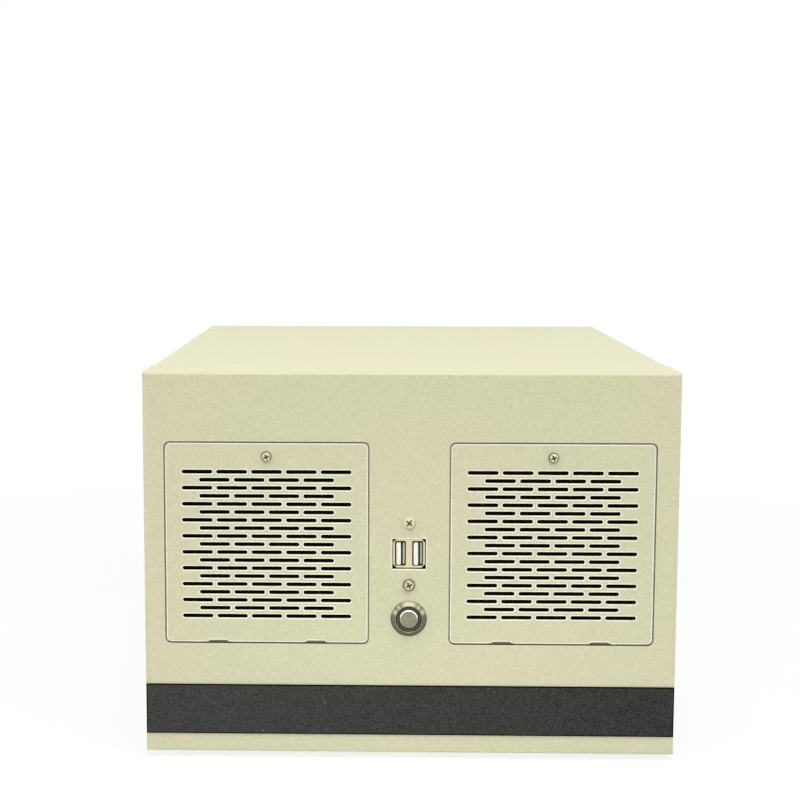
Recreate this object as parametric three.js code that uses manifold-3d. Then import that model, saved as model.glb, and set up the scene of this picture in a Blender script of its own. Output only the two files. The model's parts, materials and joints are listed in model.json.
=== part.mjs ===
// A folded-steel industrial computer that lies flat: a box for a micro-ATX board, with two slotted
// filter doors, a twin USB socket and a metal push button on its front.
//
// Millimetres, +Z up. Each piece is drawn in the chassis frame: x across, with 0 in the middle, y back
// from the front face, and z up from the front panel's lower edge. The last lines move that frame so
// that the origin lies under the middle of the whole computer, on the surface it stands on.

import * as THREE from "three";
import { mergeVertices } from "three/addons/utils/BufferGeometryUtils.js";
import Module from "manifold-3d";

// ------------------------------------------------------------------ Driving dimensions

// The box
const WIDTH = 266;
const HEIGHT = 193;
const DEPTH = 330;
const SHEET = 1.2; // steel sheet
const BEND = 1.6; // outer radius of a fold
const FIT = 0.3; // clearance between neighbouring pieces
const RETURN_DEPTH = 38; // how far the front panel's four returns run back
const COVER_SEAM = 0.5; // between those returns and the top cover
const COVER_FLANGE = 18;
const COVER_INSET = 0.2; // the cover is this much narrower than the front panel, on each side
const TONGUE_LAP = 12; // how far the cover's tongue reaches under the front panel
const TONGUE_INSET = 24;
const TUB_SETBACK = 4;
const TUB_LIP = 12;
const REAR_RECESS = 12; // the rear panel lies this far inside the box
const REAR_FLANGE = 12;
const FOOT_HEIGHT = 3;
const FOOT_RADIUS = 8;
const FOOT_INSET_X = 25;
const FOOT_INSET_Y = 52;

// Side vents
const VENT_LENGTH = 42;
const VENT_WIDTH = 4;
const VENT_PITCH = 10;
const VENT_COUNT = 6;
const VENT_REAR = 46; // last slot to the rear panel
const VENT_Z = 92;

// The front's layout
const FRONT_CENTRE = -0.5; // the cut-outs' middle lies a little left of the box's
const CENTRE_COLUMN = 41.2; // between the doors
const DOOR_MARGIN = 11.6; // doors to the box's sides
const DOOR_DROP = 85.6; // the doors' middle below the top
const DOOR_GAP = 0.6;
const DOOR_CORNER = 2.4;
const DOOR_SCREW_DROP = 6.8; // screw to the door's upper edge
const TAB_WIDTH = 10.2;
const TAB_SPACING = 49;
const TAB_DROP = 5; // how far a tab hooks down behind the panel
const TAB_NOTCH = 0.9;

// The doors' slots
const SLOT_LENGTH = 15.3;
const SLOT_HEIGHT = 2;
const SLOT_PITCH_X = 17.3;
const SLOT_PITCH_Z = 4.06;
const SLOT_MARGIN_X = 7.5;
const SLOT_MARGIN_Z = 12.4;
const SLOT_FIELD_DROP = 0.6; // the field's middle below the door's

// The black band
const BAND_BOTTOM = 9.6;
const BAND_HEIGHT = 25.5;
const BAND_THICKNESS = 0.5;
const BAND_END = 0.4;

// Screws
const SCREW_HEAD_RADIUS = 3.1;
const SCREW_HEAD_HEIGHT = 1.7;
const SCREW_RADIUS = 1.5;
const SCREW_REACH = 4;
const CAPTIVE_PLAY = 0.5; // about a door screw, which swings out with its door

// Filter trays and mats
const TRAY_INSET_X = 6.5; // pan to the door's edge, at each side
const TRAY_INSET_Z = 10; // the same above and below
const TRAY_DEPTH = 10.8; // from the front face to the tray's back
const TRAY_LAP = 5.5; // how far the flange reaches past the door
const TRAY_NUT_RADIUS = 4.6;
const TRAY_NUT_DEPTH = 3;

// Fans
const FRONT_FAN_INSET = 10.4; // fan's side to the door's edge
const FAN_DEPTH = 25;
const FAN_WALL = 2; // least wall round the bore
const FAN_CORNER = 4;
const FAN_HOLE_INSET = 4.25;
const FAN_HOLE_RADIUS = 2.2;
const FAN_HUB_RADIUS = 17;
const FAN_STRUT = 4;
const FAN_STRUT_DEPTH = 3.5;
const BLADE_COUNT = 7;
const BLADE_THICKNESS = 1.6;
const BLADE_CAMBER = 1.6;
const BLADE_TIP_GAP = 1.4;
const BLADE_ROOT_PITCH = 48; // degrees from the plane of the rotor
const BLADE_TIP_PITCH = 28;
const ROTOR_MARGIN = 2;

// Twin USB socket
const USB_DROP = 5.1; // below the doors' middle
const USB_WIDTH = 16.5;
const USB_HEIGHT = 15.2;
const USB_CHAMFER = 1.4;
const USB_DEPTH = 16;
const USB_SETBACK = 0.3;
const USB_PITCH = 8.6;
const USB_MOUTH_WIDTH = 5;
const USB_MOUTH_HEIGHT = 12.3;
const USB_MOUTH_DEPTH = 13;
const USB_TONGUE_WIDTH = 2.2;
const USB_TONGUE_HEIGHT = 11.4;
const USB_TONGUE_LENGTH = 12;
const USB_TONGUE_SIDE = 0.5; // from the mouth's left side
const USB_SCREW_SPACING = 31.6;
const USB_BRACKET_WIDTH = 24;
const USB_BRACKET_HEIGHT = 41;

// Push button
const BUTTON_DROP = 37.9; // below the doors' middle
const BUTTON_FLANGE_RADIUS = 9.2;
const BUTTON_PROUD = 2; // how far the flange stands out of the panel
const BUTTON_RIM = 0.5;
const BUTTON_BARREL_RADIUS = 8;
const BUTTON_LENGTH = 22;
const BUTTON_BORE_RADIUS = 6.4;
const BUTTON_BORE_DEPTH = 8;
const BUTTON_CAP_RADIUS = 4.7;
const BUTTON_CAP_LENGTH = 6;
const BUTTON_CAP_SETBACK = 0.2;
const BUTTON_RING_SETBACK = 0.5;
const BUTTON_NUT_FLATS = 20;
const BUTTON_NUT_HEIGHT = 3;

// Main board
const BOARD_SIDE = 11; // board to the box's sides
const BOARD_FRONT = 71.3;
const BOARD_THICKNESS = 1.6;
const BOARD_REAR_GAP = 1.5;
const STANDOFF_HEIGHT = 6.5;
const STANDOFF_RADIUS = 4;
const STANDOFF_INSET = 7;
const SINK_IN = 0.2; // how far a part on a board is set into it

// Rear sockets: widths, and heights above the board
const AUDIO_WIDTH = 13;
const AUDIO_HEIGHT = 34;
const NETWORK_WIDTH = 16;
const NETWORK_HEIGHT = 28;
const SERIAL_WIDTH = 31;
const SERIAL_HEIGHT = 12.5;
const KEYBOARD_WIDTH = 14;
const KEYBOARD_HEIGHT = 26;
const SOCKET_GAP = 6;
const SOCKET_DEPTH = 20;
const SOCKET_WALL = 1.6;
const SOCKET_MOUTH_DEPTH = 8;
const SHIELD_WIDTH = 158.75;
const SHIELD_HEIGHT = 44.45;
const SHIELD_THICKNESS = 0.5;
const SHIELD_LAP = 2; // how far the shield's rim runs behind the rear panel
const SHIELD_DROP = 3.8; // opening's lower edge below the board's top
const SHIELD_EDGE = 1; // opening's outer edge to the board's edge

// Expansion slots
const CARD_COUNT = 4;
const CARD_SHIELD_GAP = 2.24; // shield's opening to the first slot's strip
const CARD_WALL_GAP = 8.83; // last slot's strip to the tub's wall
const CARD_BRACKET_GAP = 1.92; // between the covers of neighbouring slots
const CARD_BRACKET_THICKNESS = 0.9;
const CARD_WINDOW_SIDE = 2.7; // a cover's overlap on its window, at each side
const CARD_WINDOW_BOTTOM = 14;
const CARD_WINDOW_TOP_GAP = 8;
const CARD_SHELF_RISE = 115.2; // shelf's top above the board's top
const CARD_SHELF_DEPTH = 11;
const CARD_TAB_WINDOW = 9;
const CARD_CONNECTOR_LENGTH = 89;
const CARD_CONNECTOR_WIDTH = 7.5;
const CARD_CONNECTOR_HEIGHT = 11;
const CARD_CONNECTOR_REAR = 47;
const CLAMP_LIP = 6;

// Power supply
const SUPPLY_WIDTH = 150;
const SUPPLY_HEIGHT = 86;
const SUPPLY_SHELF_GAP = 20.5; // to the drive's shelf
const SUPPLY_FAN_GAP = 1.8; // inside the case, above and below its fan
const SUPPLY_SIDE_GAP = 1.8; // to the rear panel's flange
const SUPPLY_TOP_GAP = 5.5; // to the tub's lips
const SUPPLY_RIM = 4.5; // how much of its rear face the rear panel covers
const SUPPLY_FAN_OFFSET = -27;
const SUPPLY_INLET_OFFSET = 46;
const GUARD_INSET = 2; // the outer ring inside the fan's bore
const GUARD_WIRE = 1.6;
const GUARD_RINGS = 3;
const INLET_WIDTH = 27;
const INLET_HEIGHT = 20;
const INLET_DEPTH = 18;
const INLET_FLANGE = 2;
const INLET_FLANGE_THICKNESS = 1.5;
const INLET_MOUTH_WIDTH = 24;
const INLET_MOUTH_HEIGHT = 16.4;
const INLET_MOUTH_DEPTH = 15;
const INLET_CHAMFER = 4;
const INLET_DROP = 15; // below the supply's middle
const PIN_WIDTH = 2;
const PIN_HEIGHT = 4;
const PIN_LENGTH = 12;
const PIN_SPACING = 7;
const PIN_STAGGER = 3.8;
const SWITCH_RISE = 22; // above the supply's middle
const SWITCH_WIDTH = 13;
const SWITCH_HEIGHT = 19;
const SWITCH_DEPTH = 12;
const SWITCH_WALL = 1.2;
const ROCKER_TILT = 7; // degrees to each side
const ROCKER_DEPTH = 5;

// Processor cooler
const COOLER_X = 45;
const COOLER_FROM_REAR = 100;
const COOLER_LIFT = 6;
const SINK_SIZE = 80;
const SINK_BASE = 6;
const SINK_FIN_HEIGHT = 26;
const SINK_FINS = 16;
const SINK_FIN_THICKNESS = 1.4;
const COOLER_FAN_DEPTH = 15;
const SOCKET_BLOCK = 44; // processor and its socket, under the heat sink

// Memory
const MEMORY_COUNT = 2;
const MEMORY_LENGTH = 133.35;
const MEMORY_HEIGHT = 30;
const MEMORY_THICKNESS = 1.3;
const MEMORY_CHIP = 1.1;
const MEMORY_X = 36;
const MEMORY_FROM_REAR = 160;
const MEMORY_PITCH = 11;
const MEMORY_SLOT_WIDTH = 7;
const MEMORY_SLOT_HEIGHT = 9;
const MEMORY_GROOVE = 5;

// Drive and its shelf
const SHELF_DROP = 40.5; // below the tub's lips
const SHELF_FRONT = 58;
const SHELF_END = 14;
const DRIVE_LENGTH = 147;
const DRIVE_WIDTH = 101.6;
const DRIVE_OVERHANG = 1.8; // past the shelf's front and rear edge
const DRIVE_HEIGHT = 26.1;
const DRIVE_STEP = 3;
const DRIVE_FROM_WALL = 6;
const DRIVE_HUB_RADIUS = 38;

// Main power header
const HEADER_LENGTH = 51;
const HEADER_WIDTH = 9;
const HEADER_HEIGHT = 12;
const HEADER_SIDE = 9; // its middle to the board's edge
const HEADER_FROM_FRONT = 47.5; // its middle to the board's front edge

// Facets
const ARC_STEPS = 2; // on a rounded corner, and on a slot's round end
const FOLD_STEPS = 2;
const ROUND_STEPS = 24;
const SMALL_ROUND_STEPS = 12;
const COARSE_STEPS = 6; // on a fan's screw holes and on a standoff

// ------------------------------------------------------------------ Places that follow from them

const COVER_SIDE = WIDTH / 2 - COVER_INSET;
const TUB_SIDE = COVER_SIDE - SHEET - FIT;
const TUB_WALL = TUB_SIDE - SHEET;
const TUB_BOTTOM = SHEET + FIT;
const FLOOR = TUB_BOTTOM + SHEET;
const COVER_UNDER = HEIGHT - SHEET;
const COVER_FRONT = RETURN_DEPTH + COVER_SEAM;
const TONGUE_TOP = COVER_UNDER - FIT;
const TUB_TOP = COVER_UNDER - FIT;
const REAR_FACE = DEPTH - REAR_RECESS;
const REAR_INNER = REAR_FACE - SHEET;
const REAR_TOP = TONGUE_TOP - SHEET - FIT;
const REAR_HALF = TUB_WALL - FIT;
const BEHIND_PANEL = SHEET + FIT;

const DOOR_SIZE = (WIDTH - CENTRE_COLUMN) / 2 - DOOR_MARGIN;
const DOOR_OFFSET = (CENTRE_COLUMN + DOOR_SIZE) / 2;
const DOOR_X = [FRONT_CENTRE - DOOR_OFFSET, FRONT_CENTRE + DOOR_OFFSET];
const DOOR_Z = HEIGHT - DOOR_DROP;
const DOOR_SCREW_RISE = DOOR_SIZE / 2 - DOOR_SCREW_DROP;
const SLOT_ROWS =
  1 + Math.floor((DOOR_SIZE - 2 * SLOT_MARGIN_Z - SLOT_HEIGHT) / SLOT_PITCH_Z);
const SLOTS_IN_LONG_ROW =
  1 + Math.floor((DOOR_SIZE - 2 * SLOT_MARGIN_X - SLOT_LENGTH) / SLOT_PITCH_X);
const TRAY_WIDTH = DOOR_SIZE - 2 * TRAY_INSET_X;
const TRAY_HEIGHT = DOOR_SIZE - 2 * TRAY_INSET_Z;
const TRAY_BACK = TRAY_DEPTH + SHEET;
const FRONT_FAN_SIZE = DOOR_SIZE - 2 * FRONT_FAN_INSET;
const USB_Z = DOOR_Z - USB_DROP;
const BUTTON_Z = DOOR_Z - BUTTON_DROP;

const BOARD_REAR = REAR_INNER - BOARD_REAR_GAP;
const BOARD_WIDTH = WIDTH - 2 * BOARD_SIDE;
const BOARD_BOTTOM = FLOOR + STANDOFF_HEIGHT;
const BOARD_TOP = BOARD_BOTTOM + BOARD_THICKNESS;
const SHIELD_X = BOARD_WIDTH / 2 - SHIELD_EDGE - SHIELD_WIDTH / 2;
const SHIELD_Z = BOARD_TOP - SHIELD_DROP + SHIELD_HEIGHT / 2;
const CARD_SHELF = BOARD_TOP + CARD_SHELF_RISE;
const CARD_RIGHT = SHIELD_X - SHIELD_WIDTH / 2 - CARD_SHIELD_GAP;
const CARD_LEFT = CARD_WALL_GAP - TUB_WALL;
const CARD_PITCH = (CARD_RIGHT - CARD_LEFT) / CARD_COUNT;
const CARD_BRACKET_WIDTH = CARD_PITCH - CARD_BRACKET_GAP;
const CARD_WINDOW_WIDTH = CARD_BRACKET_WIDTH - 2 * CARD_WINDOW_SIDE;
const CARD_X = Array.from(
  { length: CARD_COUNT },
  (_, i) => CARD_RIGHT - (i + 0.5) * CARD_PITCH,
);

const SUPPLY_X = REAR_HALF - SHEET - SUPPLY_SIDE_GAP - SUPPLY_WIDTH / 2;
const SUPPLY_Z = TUB_TOP - SUPPLY_TOP_GAP - SUPPLY_HEIGHT / 2;
const SUPPLY_REAR = REAR_INNER - FIT;
const SHELF_Z = TUB_TOP - SHELF_DROP;
const SHELF_DEPTH = DRIVE_WIDTH - 2 * DRIVE_OVERHANG;
const SUPPLY_FRONT = SHELF_FRONT + SHELF_DEPTH + SUPPLY_SHELF_GAP;
const SUPPLY_FAN_SIZE = SUPPLY_HEIGHT - 2 * (SHEET + SUPPLY_FAN_GAP);
const SUPPLY_FAN_X = SUPPLY_X + SUPPLY_FAN_OFFSET;
const INLET_X = SUPPLY_X + SUPPLY_INLET_OFFSET;
const INLET_Z = SUPPLY_Z - INLET_DROP;
const SWITCH_Z = SUPPLY_Z + SWITCH_RISE;

const COOLER_Y = REAR_INNER - COOLER_FROM_REAR;
const SINK_BOTTOM = BOARD_TOP + COOLER_LIFT;
const SINK_TOP = SINK_BOTTOM + SINK_BASE + SINK_FIN_HEIGHT;
const HEADER_X = BOARD_WIDTH / 2 - HEADER_SIDE;
const HEADER_Y = BOARD_FRONT + HEADER_FROM_FRONT;

// ------------------------------------------------------------------ Materials

/** A plain material: colour, roughness and metalness. */
function finish(color, roughness, metalness) {
  return new THREE.MeshStandardMaterial({ color, roughness, metalness });
}

const BEIGE_PAINT = finish(0xd3d2b0, 0.55, 0);
const BLACK_BAND = finish(0x3f403d, 0.5, 0);
const ZINC = finish(0xb9bbb8, 0.38, 0.9);
const STAINLESS = finish(0xc9c8c2, 0.28, 1);
const DARK_PLASTIC = finish(0x2a2a2a, 0.5, 0);
const WHITE_PLASTIC = finish(0xf2f1ea, 0.45, 0);
const FOAM = finish(0x1c1c1b, 0.95, 0);
const BOARD_GREEN = finish(0x1f5a38, 0.5, 0);
const ALUMINIUM = finish(0xc4c6c8, 0.35, 0.95);
const RUBBER = finish(0x1a1a1a, 0.85, 0);

// ------------------------------------------------------------------ Joining and cutting

const wasm = await Module();
wasm.setup();

/** The solid that a closed geometry bounds. */
function solidOf(geometry) {
  const bare = new THREE.BufferGeometry();
  bare.setAttribute("position", geometry.getAttribute("position"));
  bare.setIndex(geometry.index);
  const welded = mergeVertices(bare, 1e-4);
  const corners = welded.index.array;
  const kept = [];
  for (let i = 0; i < corners.length; i += 3) {
    const [a, b, c] = corners.slice(i, i + 3);
    if (a !== b && b !== c && c !== a) kept.push(a, b, c);
  }
  const vertProperties = new Float32Array(welded.getAttribute("position").array);
  return new wasm.Manifold(
    new wasm.Mesh({ numProp: 3, vertProperties, triVerts: new Uint32Array(kept) }),
  );
}

/** A solid's surface as a geometry. */
function geometryOf(solid) {
  const { vertProperties, triVerts } = solid.getMesh();
  const geometry = new THREE.BufferGeometry();
  geometry.setAttribute("position", new THREE.BufferAttribute(vertProperties, 3));
  geometry.setIndex(new THREE.BufferAttribute(triVerts, 1));
  return geometry;
}

/** Several overlapping geometries as one. */
function join(...geometries) {
  return geometryOf(geometries.map(solidOf).reduce((whole, piece) => whole.add(piece)));
}

/** A geometry with others taken out of it. */
function cut(geometry, ...tools) {
  const taken = tools.map(solidOf).reduce((whole, tool) => whole.add(tool));
  return geometryOf(solidOf(geometry).subtract(taken));
}

// ------------------------------------------------------------------ Outlines

function point(x, y) {
  return new THREE.Vector2(x, y);
}

function rectangle(x0, y0, x1, y1) {
  return new THREE.Shape([point(x0, y0), point(x1, y0), point(x1, y1), point(x0, y1)]);
}

/** A rectangle with round corners, about its middle. */
function roundedRectangle(x, y, width, height, radius) {
  const right = x + width / 2 - radius;
  const left = x - width / 2 + radius;
  const top = y + height / 2 - radius;
  const bottom = y - height / 2 + radius;
  const shape = new THREE.Shape();
  shape.absarc(right, bottom, radius, -Math.PI / 2, 0);
  shape.absarc(right, top, radius, 0, Math.PI / 2);
  shape.absarc(left, top, radius, Math.PI / 2, Math.PI);
  shape.absarc(left, bottom, radius, Math.PI, Math.PI * 1.5);
  shape.closePath();
  return shape;
}

/** A rectangle with its corners cut off at 45 degrees, by the given amounts above and below. */
function chamferedRectangle(width, height, above, below) {
  const [x, y] = [width / 2, height / 2];
  const corners = [
    [-x + below, -y],
    [x - below, -y],
    [x, -y + below],
    [x, y - above],
    [x - above, y],
    [-x + above, y],
    [-x, y - above],
    [-x, -y + below],
  ];
  const distinct = corners.filter(
    ([a, b], i) => i === 0 || a !== corners[i - 1][0] || b !== corners[i - 1][1],
  );
  return new THREE.Shape(distinct.map(([a, b]) => point(a, b)));
}

/** A slot with round ends, about its middle, along x. */
function slot(x, y, length, width) {
  const reach = (length - width) / 2;
  const path = new THREE.Shape();
  path.absarc(x + reach, y, width / 2, -Math.PI / 2, Math.PI / 2);
  path.absarc(x - reach, y, width / 2, Math.PI / 2, Math.PI * 1.5);
  path.closePath();
  return path;
}

/** The same slot along y. */
function uprightSlot(x, y, length, width) {
  const reach = (length - width) / 2;
  const path = new THREE.Shape();
  path.absarc(x, y + reach, width / 2, 0, Math.PI);
  path.absarc(x, y - reach, width / 2, Math.PI, Math.PI * 2);
  path.closePath();
  return path;
}

/** A hexagon about the origin, measured across its flats. */
function hexagon(flats) {
  const radius = flats / Math.sqrt(3);
  const corners = Array.from({ length: 6 }, (_, i) => {
    const angle = ((i + 0.5) * Math.PI) / 3;
    return point(radius * Math.cos(angle), radius * Math.sin(angle));
  });
  return new THREE.Shape(corners);
}

/**
 * The section of a folded sheet. One face follows the points, and the thickness lies to their left.
 * Each fold has the same outer radius, whichever way it turns.
 */
function foldedSheet(points, thickness = SHEET, radius = BEND) {
  const last = points.length - 1;
  const heading = points.slice(1).map((p, i) => p.clone().sub(points[i]).normalize());
  const left = heading.map((h) => point(-h.y, h.x));
  const back = (p, normal) => p.clone().addScaledVector(normal, thickness);
  const near = [points[0]];
  const far = [back(points[0], left[0])];
  for (let i = 1; i < last; i++) {
    const turn = Math.sign(heading[i - 1].cross(heading[i]));
    const angle = heading[i - 1].angleTo(heading[i]);
    const nearRadius = turn > 0 ? radius : radius - thickness;
    const centre = points[i]
      .clone()
      .addScaledVector(heading[i - 1], -nearRadius * Math.tan(angle / 2))
      .addScaledVector(left[i - 1], turn * nearRadius);
    for (let step = 0; step <= FOLD_STEPS; step++) {
      const bearing = left[i - 1].clone().multiplyScalar(-turn);
      bearing.rotateAround(point(0, 0), (turn * angle * step) / FOLD_STEPS);
      near.push(centre.clone().addScaledVector(bearing, nearRadius));
      far.push(centre.clone().addScaledVector(bearing, nearRadius - turn * thickness));
    }
  }
  near.push(points[last]);
  far.push(back(points[last], left[last - 1]));
  return new THREE.Shape([...near, ...far.reverse()]);
}

// ------------------------------------------------------------------ Solids from outlines

const axis = (x, y, z) => new THREE.Vector3(x, y, z);
const DRAWN_IN_XZ = new THREE.Matrix4().makeBasis(axis(1, 0, 0), axis(0, 0, 1), axis(0, -1, 0));
const DRAWN_IN_YZ = new THREE.Matrix4().makeBasis(axis(0, 1, 0), axis(0, 0, 1), axis(1, 0, 0));

function extruded(shape, depth, options) {
  return new THREE.ExtrudeGeometry(shape, {
    depth,
    bevelEnabled: false,
    curveSegments: ARC_STEPS / 2,
    ...options,
  });
}

/** An outline in x and z, from y0 back to y1. */
function alongY(shape, y0, y1, options) {
  return extruded(shape, y1 - y0, options).applyMatrix4(DRAWN_IN_XZ).translate(0, y1, 0);
}

/** An outline in y and z, from x0 across to x1. */
function alongX(shape, x0, x1, options) {
  return extruded(shape, x1 - x0, options).applyMatrix4(DRAWN_IN_YZ).translate(x0, 0, 0);
}

/** An outline in x and y, from z0 up to z1. */
function alongZ(shape, z0, z1, options) {
  return extruded(shape, z1 - z0, options).translate(0, 0, z0);
}

function box(x0, x1, y0, y1, z0, z1) {
  return new THREE.BoxGeometry(x1 - x0, y1 - y0, z1 - z0).translate(
    (x0 + x1) / 2,
    (y0 + y1) / 2,
    (z0 + z1) / 2,
  );
}

/** A profile of radius and depth pairs, turned about the y axis. */
function turned(profile, steps = ROUND_STEPS) {
  const points = profile.map(([radius, y]) => point(radius, y));
  if (THREE.ShapeUtils.area(points) < 0) points.reverse();
  return new THREE.LatheGeometry(points, steps);
}

/** A cylinder about a line along y. */
function rod(x, z, radius, y0, y1, steps = ROUND_STEPS) {
  const profile = [
    [0, y0],
    [radius, y0],
    [radius, y1],
    [0, y1],
  ];
  return turned(profile, steps).translate(x, 0, z);
}

// ------------------------------------------------------------------ Chassis sheets

/** A front panel with four returns, rounded at every fold, and the cut-outs of the front. */
function frontPanel() {
  const face = rectangle(-WIDTH / 2 + BEND, BEND, WIDTH / 2 - BEND, HEIGHT - BEND);
  const block = alongY(face, BEND, RETURN_DEPTH + BEND, {
    bevelEnabled: true,
    bevelSize: BEND,
    bevelThickness: BEND,
    bevelSegments: FOLD_STEPS,
  });
  const beyond = box(-WIDTH, WIDTH, RETURN_DEPTH, RETURN_DEPTH * 2, -HEIGHT, HEIGHT * 2);
  const inside = box(
    -WIDTH / 2 + SHEET,
    WIDTH / 2 - SHEET,
    SHEET,
    RETURN_DEPTH * 2,
    SHEET,
    HEIGHT - SHEET,
  );
  return cut(block, beyond, inside, ...frontCutOuts());
}

function frontCutOuts() {
  const through = (shape) => alongY(shape, -SHEET, SHEET * 2);
  const opening = DOOR_SIZE + 2 * DOOR_GAP;
  const doors = DOOR_X.map((x) =>
    through(roundedRectangle(x, DOOR_Z, opening, opening, DOOR_CORNER + DOOR_GAP)),
  );
  const [width, height] = [USB_WIDTH + 2 * FIT, USB_HEIGHT + 2 * FIT];
  const usb = through(roundedRectangle(FRONT_CENTRE, USB_Z, width, height, FIT));
  const screws = usbScrewHeights().map((z) =>
    rod(FRONT_CENTRE, z, SCREW_RADIUS + FIT, -SHEET, SHEET * 2, SMALL_ROUND_STEPS),
  );
  const button = rod(FRONT_CENTRE, BUTTON_Z, BUTTON_BARREL_RADIUS + FIT, -SHEET, SHEET * 2);
  return [...doors, usb, ...screws, button];
}

/** Floor, side walls and their inward lips from one sheet, with vents and the board's standoffs. */
function chassisTub() {
  const section = foldedSheet([
    point(-TUB_SIDE + TUB_LIP, TUB_TOP),
    point(-TUB_SIDE, TUB_TOP),
    point(-TUB_SIDE, TUB_BOTTOM),
    point(TUB_SIDE, TUB_BOTTOM),
    point(TUB_SIDE, TUB_TOP),
    point(TUB_SIDE - TUB_LIP, TUB_TOP),
  ]);
  const vents = Array.from({ length: VENT_COUNT }, (_, i) =>
    alongX(
      uprightSlot(REAR_INNER - VENT_REAR - i * VENT_PITCH, VENT_Z, VENT_LENGTH, VENT_WIDTH),
      -WIDTH,
      WIDTH,
    ),
  );
  const sheet = cut(alongY(section, TUB_SETBACK, DEPTH), ...vents);
  return join(sheet, ...standoffs());
}

function standoffs() {
  const side = BOARD_WIDTH / 2 - STANDOFF_INSET;
  const front = BOARD_FRONT + STANDOFF_INSET;
  const rear = BOARD_REAR - STANDOFF_INSET;
  const post = new THREE.CylinderGeometry(
    STANDOFF_RADIUS,
    STANDOFF_RADIUS,
    STANDOFF_HEIGHT - FIT + SINK_IN,
    COARSE_STEPS,
  );
  post.rotateX(Math.PI / 2);
  const height = FLOOR - SINK_IN + (STANDOFF_HEIGHT - FIT + SINK_IN) / 2;
  return [-side, side].flatMap((x) =>
    [front, (front + rear) / 2, rear].map((y) => post.clone().translate(x, y, height)),
  );
}

/** A lid with side flanges outside the tub's walls and a tongue under the front panel. */
function topCover() {
  const section = foldedSheet([
    point(COVER_SIDE, HEIGHT - COVER_FLANGE),
    point(COVER_SIDE, HEIGHT),
    point(-COVER_SIDE, HEIGHT),
    point(-COVER_SIDE, HEIGHT - COVER_FLANGE),
  ]);
  const half = WIDTH / 2 - TONGUE_INSET;
  const front = RETURN_DEPTH - TONGUE_LAP;
  const weld = COVER_FRONT + TONGUE_LAP;
  const tongue = box(-half, half, front, weld, TONGUE_TOP - SHEET, TONGUE_TOP);
  const land = box(-half, half, COVER_FRONT, weld, TONGUE_TOP - SHEET, COVER_UNDER + SINK_IN);
  return join(alongY(section, COVER_FRONT, DEPTH), tongue, land);
}

/** A rear panel with side flanges, the openings of board, cards and supply, and the cards' shelf. */
function rearPanel() {
  const section = foldedSheet([
    point(REAR_HALF, REAR_FACE - REAR_FLANGE),
    point(REAR_HALF, REAR_FACE),
    point(-REAR_HALF, REAR_FACE),
    point(-REAR_HALF, REAR_FACE - REAR_FLANGE),
  ]);
  const sheet = alongZ(section, FLOOR + FIT, REAR_TOP);
  const through = (shape) => alongY(shape, REAR_INNER - SHEET, REAR_FACE + SHEET);
  const shield = roundedRectangle(SHIELD_X, SHIELD_Z, SHIELD_WIDTH, SHIELD_HEIGHT, BEND);
  const supply = roundedRectangle(
    SUPPLY_X,
    SUPPLY_Z,
    SUPPLY_WIDTH - 2 * SUPPLY_RIM,
    SUPPLY_HEIGHT - 2 * SUPPLY_RIM,
    SUPPLY_RIM,
  );
  const windowTop = CARD_SHELF - CARD_WINDOW_TOP_GAP;
  const windows = CARD_X.map((x) =>
    rectangle(
      x - CARD_WINDOW_WIDTH / 2,
      CARD_WINDOW_BOTTOM,
      x + CARD_WINDOW_WIDTH / 2,
      windowTop,
    ),
  );
  const tabs = rectangle(CARD_LEFT, CARD_SHELF, CARD_RIGHT, CARD_SHELF + CARD_TAB_WINDOW);
  const cuts = [shield, supply, ...windows, tabs, ...rearVents()].map(through);
  const shelf = box(
    CARD_LEFT,
    CARD_RIGHT,
    REAR_FACE - SINK_IN,
    REAR_FACE + CARD_SHELF_DEPTH,
    CARD_SHELF - SHEET,
    CARD_SHELF,
  );
  return join(cut(sheet, ...cuts), shelf);
}

/** Two columns of slots above the expansion slots. */
function rearVents() {
  const bottom = CARD_SHELF + CARD_TAB_WINDOW + VENT_PITCH;
  const rows = Math.floor((REAR_TOP - VENT_PITCH / 2 - bottom) / VENT_PITCH) + 1;
  const length = (CARD_RIGHT - CARD_LEFT) / 2 - VENT_PITCH / 2;
  const middle = (CARD_LEFT + CARD_RIGHT) / 2;
  return Array.from({ length: rows }, (_, row) => bottom + row * VENT_PITCH).flatMap((z) =>
    [-1, 1].map((side) =>
      slot(middle + (side * (length + VENT_PITCH / 2)) / 2, z, length, VENT_WIDTH),
    ),
  );
}

/** A rubber foot, under the tub's floor. */
function foot() {
  const profile = [
    [0, -FOOT_HEIGHT],
    [FOOT_RADIUS * 0.8, -FOOT_HEIGHT],
    [FOOT_RADIUS, TUB_BOTTOM],
    [0, TUB_BOTTOM],
  ];
  return turned(profile, SMALL_ROUND_STEPS).rotateX(Math.PI / 2);
}

// ------------------------------------------------------------------ Filter doors

/** Centres of the slots about the field's middle: long and short rows in turn, bonded like bricks. */
function slotCentres() {
  return Array.from({ length: SLOT_ROWS }, (_, row) => {
    const count = row % 2 ? SLOTS_IN_LONG_ROW - 1 : SLOTS_IN_LONG_ROW;
    const z = (row - (SLOT_ROWS - 1) / 2) * SLOT_PITCH_Z;
    return Array.from({ length: count }, (_, i) => [(i - (count - 1) / 2) * SLOT_PITCH_X, z]);
  }).flat();
}

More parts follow.
